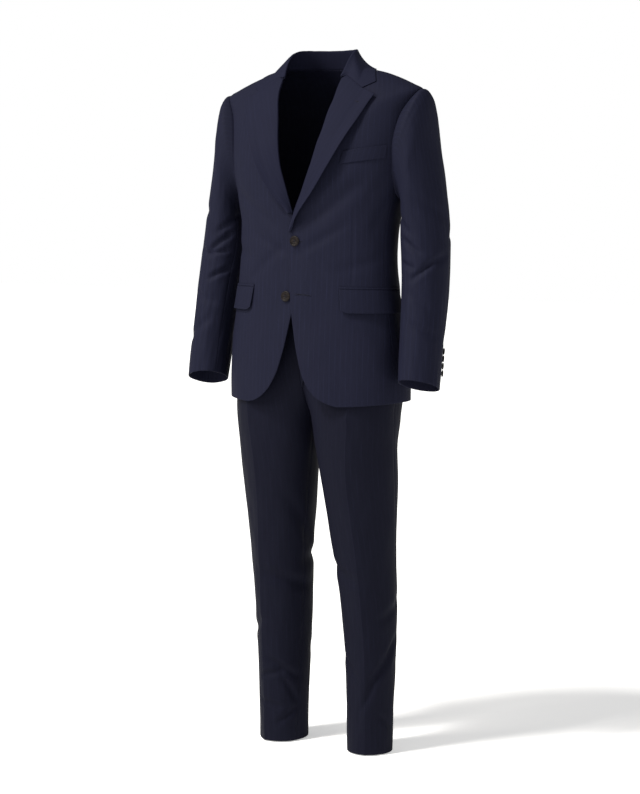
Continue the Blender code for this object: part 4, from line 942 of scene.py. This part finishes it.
def stitches(name, middles, along, up, length, width, finish,
             height=0.00022):
    """An ellipsoid a stitch: three rings of six points and two poles."""
    along = unit(along)
    up = unit(up - along * (up * along).sum(axis=-1, keepdims=True))
    side = np.cross(along, up)
    shape = [(-1.0, 0.0, 0.0)]
    for q in (-0.62, 0.0, 0.62):
        wide = math.sqrt(1 - q * q)
        shape += [(q, wide * math.cos(t), wide * math.sin(t)) for t in STITCH_TURNS]
    shape = np.array(shape + [(1.0, 0.0, 0.0)])
    points = (middles[:, None] + along[:, None] * shape[:, :1] * length / 2
              + side[:, None] * shape[:, 1:2] * width / 2 + up[:, None] * shape[:, 2:] * height)
    ring, beyond = np.arange(6), (np.arange(6) + 1) % 6
    faces = [np.stack([0 * ring, 1 + beyond, 1 + ring], axis=-1),
             np.stack([0 * ring + 19, 13 + ring, 13 + beyond], axis=-1)]
    for low in (1, 7):
        faces += [np.stack([low + ring, low + beyond, low + 6 + ring], axis=-1),
                  np.stack([low + beyond, low + 6 + beyond, low + 6 + ring], axis=-1)]
    faces = np.concatenate(faces)[None] + len(shape) * np.arange(len(middles))[:, None, None]
    spots = np.tile(shape[:, :2] * (length, width), (len(middles), 1))
    put(name, points.reshape(-1, 3), faces.reshape(-1, 3), spots, finish)


def spaced(path, up, pitch):
    """Points, directions and normals every pitch along a path."""
    run = np.concatenate([[0], np.cumsum(np.linalg.norm(np.diff(path, axis=0), axis=-1))])
    at = np.arange(pitch / 2, run[-1], pitch)
    middles = np.stack([np.interp(at, run, path[:, k]) for k in range(3)], axis=-1)
    way = np.gradient(path, run, axis=0)
    return middles, *(np.stack([np.interp(at, run, field[:, k]) for k in range(3)], axis=-1)
                      for field in (way, up))


def inset(face, normal, *runs):
    """Path a pick's inset inside a grid's border along runs of indices, with its normals."""
    moved = draw_in(face, PICK_INSET)
    path, up = (np.concatenate([grid[run] for run in runs]) for grid in (moved, normal))
    keep = np.concatenate([[True], np.linalg.norm(np.diff(path, axis=0), axis=-1) > 1e-5])
    return path[keep], up[keep]


def picked(name, path, up, flip=np.ones(3)):
    """A row of pick stitches along a path."""
    middles, way, up = spaced(path, up, PICK_PITCH)
    stitches(name, settle(middles * flip), way * flip, up * flip, 0.0012, 0.00045, pick_thread)


def buttonhole(name, middle, along, up, length):
    """Close stitches across the two sides and round the ends of a slit, and painted shade in the
    slit.
    """
    side = np.cross(unit(up), unit(along))
    c, s = (way(np.linspace(0, 2 * math.pi, 200)) for way in (np.cos, np.sin))
    straight = (length / 2 - HOLE_RADIUS) * np.sign(c) * ease(0.0, 0.05, np.abs(c))
    path = (middle + unit(along) * (straight + HOLE_RADIUS * c)[:, None]
            + side * (HOLE_RADIUS * s)[:, None])
    middles, way, up_here = spaced(path, np.broadcast_to(up, path.shape), HOLE_PITCH)
    stitches(name + "_edge", middles, np.cross(way, up_here), up_here, 0.0016, 0.0007,
             hole_thread)
    # a flat near-black strip along the slit: painted shade of its opening
    stitches(name + "_slit", middle[None], along[None], up[None], length * 0.92, 0.0009,
             slit_shade_paint, height=0.00012)


pick_thread = thread("navy_pick_thread", "#0d0d16", 0.8)
hole_thread = thread("navy_buttonhole_twist", "#191a2b", 0.7)
# near-black and dull: painted shade for the openings of the buttonhole slits
slit_shade_paint = thread("buttonhole_gimp", "#06060a", 0.9)
for side, mirror, flip in SIDES:
    path, up = inset(*lapel_faces[side], (-1, slice(3, -3)), (slice(-2, 24, -1), -1))
    picked(f"lapel_pick_{side}", path, up, flip)
    levels = np.linspace(0.760, 1.096, 160)
    edge_x = curve_through(FRONT_EDGE["level"], FRONT_EDGE[side], levels) + PICK_INSET * 1.3
    path, up = body(front_angle(edge_x, levels), levels, mirror,
                    lap_lift(edge_x, levels, mirror) + 0.00005)
    picked(f"front_pick_{side}", path, up, flip)
    path, up = inset(*flap_faces[side], (0,), (slice(None), -1), (-1, slice(None, None, -1)))
    picked(f"flap_pick_{side}", path, up, flip)
picked("collar_pick", *inset(collar_face, collar_normal, (-1,)))
picked("welt_pick", *inset(welt_face, welt_normal, (slice(None), 0)))
middles, way, up = spaced(fly_face[-3, 4:], fly_normal[-3, 4:], FLY_PITCH)
stitches("fly_stitching", settle(middles), way, up, 0.0024, 0.0006, pick_thread)
for name, x, z, length, rise in HOLES:
    x, z = x + length * np.array([-0.5, 0, 0.5]), z + rise * np.array([-0.5, 0, 0.5])
    if name == "lapel_hole":
        flat, flat_up = (grid[14:].reshape(-1, 3) for grid in lapel_faces["left"])
        near = [np.argmin((flat[:, 0] - a) ** 2 + (flat[:, 2] - b) ** 2) for a, b in zip(x, z)]
        hole, hole_up = flat[near], flat_up[near]
    else:
        hole, hole_up = on_front(x, z, False, lap_lift(x, z, False))
    middle = settle(hole[1:2] + hole_up[1:2] * 0.0001)[0]
    buttonhole(name, middle, hole[2] - hole[0], hole_up[1], length)

# ---- buttons -------------------------------------------------------------------------------
# Turned horn buttons with a raised rim and four holes, sewn through with thread: two down the
# front, four on each cuff and one on the waistband.
FRONT_BUTTON, CUFF_BUTTON, WAIST_BUTTON = (0.022, 0.0036), (0.0145, 0.0028), (0.015, 0.0028)
CUFF_ROOM, CUFF_PITCH, CUFF_SEAM = 0.0350, 0.0150, 0.705
HOLE_REACH = 0.20          # from a button's middle to its holes, over its radius


def horn(name, dark, light):
    """Dull polished horn with slow brown streaks."""
    made, tree, shader = material(name, 0.46, 0.06)
    add(tree, "ShaderNodeTexCoord")
    place = tree.nodes[-1].outputs["Object"]
    drawn = scaled(tree, place, (160.0, 160.0, 700.0))
    grainy = add(tree, "ShaderNodeTexNoise", {"Vector": drawn, "Scale": 1.0, "Detail": 3.0})
    share = add(tree, "ShaderNodeMapRange", {0: grainy, 1: 0.35, 2: 0.70, 3: 0.0, 4: 1.0})
    tree.links.new(blend(tree, share, dark, light), shader.inputs["Base Color"])
    return made


dark_horn = horn("dark_horn", "#0c0a0b", "#26211f")
sewing_thread = thread("button_thread", "#1b1b26", 0.7)


def turned_button(name, centre, normal, size):
    """z(r, turn) with a rim and four dimples for the holes, on a slightly rounded back."""
    radius, height = size[0] / 2, size[1]
    rings, spokes = np.linspace(0, 1, 22), np.linspace(0, 2 * math.pi, 49)[:-1]
    r, t = np.meshgrid(rings, spokes, indexing="ij")
    face = height * (0.70 - 0.10 * (1 - (r / 0.68) ** 2) * (r < 0.68))
    face = face + height * 0.30 * np.exp(-((r - 0.84) / 0.10) ** 2)
    round_over = 0.55 + 0.33 * np.sqrt(np.clip(1 - ((r - 0.90) / 0.10) ** 2, 0, 1))
    face = np.where(r > 0.90, height * round_over, face)
    for k in range(4):
        x = r * np.cos(t) - HOLE_REACH * math.cos(math.pi / 4 + k * math.pi / 2)
        y = r * np.sin(t) - HOLE_REACH * math.sin(math.pi / 4 + k * math.pi / 2)
        face = face - 0.34 * height * np.exp(-(x * x + y * y) / 0.075 ** 2)
    x, y = radius * r * np.cos(t), radius * r * np.sin(t)
    top = np.stack([x, y, face], axis=-1)
    low = np.stack([0.97 * x, 0.97 * y, height * 0.30 * ease(0.55, 1.0, r)], axis=-1)
    points = np.concatenate([top.reshape(-1, 3), low.reshape(-1, 3)])
    index = np.arange(r.size).reshape(r.shape)
    ring = np.roll(index, -1, axis=1)
    quads = np.stack([index[:-1], ring[:-1], ring[1:], index[1:]], axis=-1).reshape(-1, 4)
    rim = np.stack([index[-1], ring[-1], ring[-1] + r.size, index[-1] + r.size], axis=-1)
    faces = np.concatenate([quads, (quads + r.size)[:, ::-1], rim[:, ::-1]])
    turn = np.array(Vector((0, 0, 1)).rotation_difference(Vector(normal)).to_matrix())
    points = points @ turn.T + settle(np.array(centre))
    spots = np.tile(np.stack([r, t], axis=-1).reshape(-1, 2), (2, 1))
    put(name + "_horn", points, faces, spots, dark_horn, [name])
    reach = HOLE_REACH * radius * math.cos(math.pi / 4)
    bars = np.array([(0, -reach, height * 0.66), (0, reach, height * 0.66)])
    middles = bars @ turn.T + settle(np.array(centre))
    stitches(name + "_thread", middles, np.array([turn[:, 0]] * 2), np.array([turn[:, 2]] * 2),
             2.9 * reach, radius * 0.11, sewing_thread, height=0.0004)


# the upper one lies on the left front, the lower one on the right
for (side, mirror, flip), name, x, z, lift in zip(
        SIDES, ("front_button_upper", "front_button_lower"), (0.004, 0.0165), (1.088, 0.9725),
        (LAP + SEAM, -LAP + SEAM + 0.0004)):
    face, normal = on_front(np.array([x]), np.array([z]), mirror, lift)
    turned_button(name, face[0] * flip, normal[0] * flip, FRONT_BUTTON)
for side, mirror, flip in SIDES:
    stations = CUFF - CUFF_ROOM - CUFF_PITCH * np.arange(3, -1, -1)
    turns = back_turn + (2 * math.pi - back_turn) * CUFF_SEAM + np.array([-0.02, 0, 0.02])
    face = sleeve(turns, stations, mirror)[0]
    normal = grid_normals(face)
    for k in range(4):
        turned_button(f"cuff_button_{side}_{4 - k}", (face[1, k] + normal[1, k] * 0.0008) * flip,
                      normal[1, k] * flip, CUFF_BUTTON)
angle, z = np.array([math.radians(-84)]), np.array([0.986])
normal = normals_of(leg, angle, z)[0]
turned_button("waist_button", leg(angle, z)[0] + normal * SEAM * 2, normal, WAIST_BUTTON)

# ---- floor, light and camera -------------------------------------------------------------
# A pale floor for the suit's shadow, a high key light and a near soft one from the suit's front
# right, a weak one from its left, a white room, and a camera at chest height.
FLOOR_Z, FLOOR_REACH = -1.4545, 14
FOCAL_PIXELS, PICTURE_PIXELS = 2127, 794

floor_paint, _, shader = material("white_backdrop_paper", 0.9, 0.5)
shader.inputs["Base Color"].default_value = linear("#f4f4f4")
shader.inputs["Emission Color"].default_value = linear("#ffffff")
shader.inputs["Emission Strength"].default_value = 0.42
floor_mesh = bpy.data.meshes.new("pale_floor")
floor_mesh.from_pydata([(x * FLOOR_REACH, y * FLOOR_REACH, FLOOR_Z)
                        for x, y in ((-1, -1), (1, -1), (1, 1), (-1, 1))], [], [(0, 1, 2, 3)])
floor_mesh.materials.append(floor_paint)
floor = bpy.data.objects.new("pale_floor", floor_mesh)
bpy.context.scene.collection.objects.link(floor)


def placed(name, data, location, way):
    """Object at a location, looking along a way."""
    made = bpy.data.objects.new(name, data)
    made.location = location
    made.rotation_euler = Vector(way).to_track_quat("-Z", "Y").to_euler()
    bpy.context.scene.collection.objects.link(made)
    return made


def soft_light(name, place, aim, size, power, colour):
    """Square area light at a place, facing an aim."""
    lamp = bpy.data.lights.new(name, "AREA")
    lamp.size, lamp.energy, lamp.color = size, power, linear(colour)[:3]
    placed(name, lamp, place, Vector(aim) - Vector(place))


soft_light("near_light", (-1.15, -1.75, 0.75), (-0.1, 0, -0.35), 0.9, 46, "#fffaf2")
soft_light("side_light", (3.6, -1.4, 0.7), (0.2, 0, -0.4), 1.4, 26, "#fffdf8")
sun = bpy.data.lights.new("key_light", "SUN")
sun.energy, sun.angle, sun.color = 3.5, math.radians(10), linear("#fffdf8")[:3]
placed("key_light", sun, (0, 0, 0), (0.30, 0.46, -0.84))

world = bpy.data.worlds.new("white_room")
world.use_nodes = True
bpy.context.scene.world = world
tree = world.node_tree
tree.nodes["Background"].inputs["Color"].default_value = (1, 1, 1, 1)
tree.nodes["Background"].inputs["Strength"].default_value = 0.27
add(tree, "ShaderNodeLightPath")
seen = tree.nodes[-1].outputs["Is Camera Ray"]
white = tree.nodes.new("ShaderNodeBackground")
white.inputs["Color"].default_value = (1, 1, 1, 1)
white.inputs["Strength"].default_value = 1.0
mix = tree.nodes.new("ShaderNodeMixShader")
tree.links.new(seen, mix.inputs[0])
tree.links.new(tree.nodes["Background"].outputs[0], mix.inputs[1])
tree.links.new(white.outputs[0], mix.inputs[2])
tree.links.new(mix.outputs[0], tree.nodes["World Output"].inputs["Surface"])
bpy.context.scene.view_settings.view_transform = "Standard"

lens = bpy.data.cameras.new("camera")
lens.sensor_fit, lens.sensor_height = "VERTICAL", 24
lens.lens = lens.sensor_height * FOCAL_PIXELS / PICTURE_PIXELS
turn, pitch = math.radians(30) + math.atan(5 / FOCAL_PIXELS), math.radians(6.22)
look = (-math.sin(turn) * math.cos(pitch), math.cos(turn) * math.cos(pitch), -math.sin(pitch))
bpy.context.scene.camera = placed("camera", lens, (2.275, -3.940, -0.195), look)
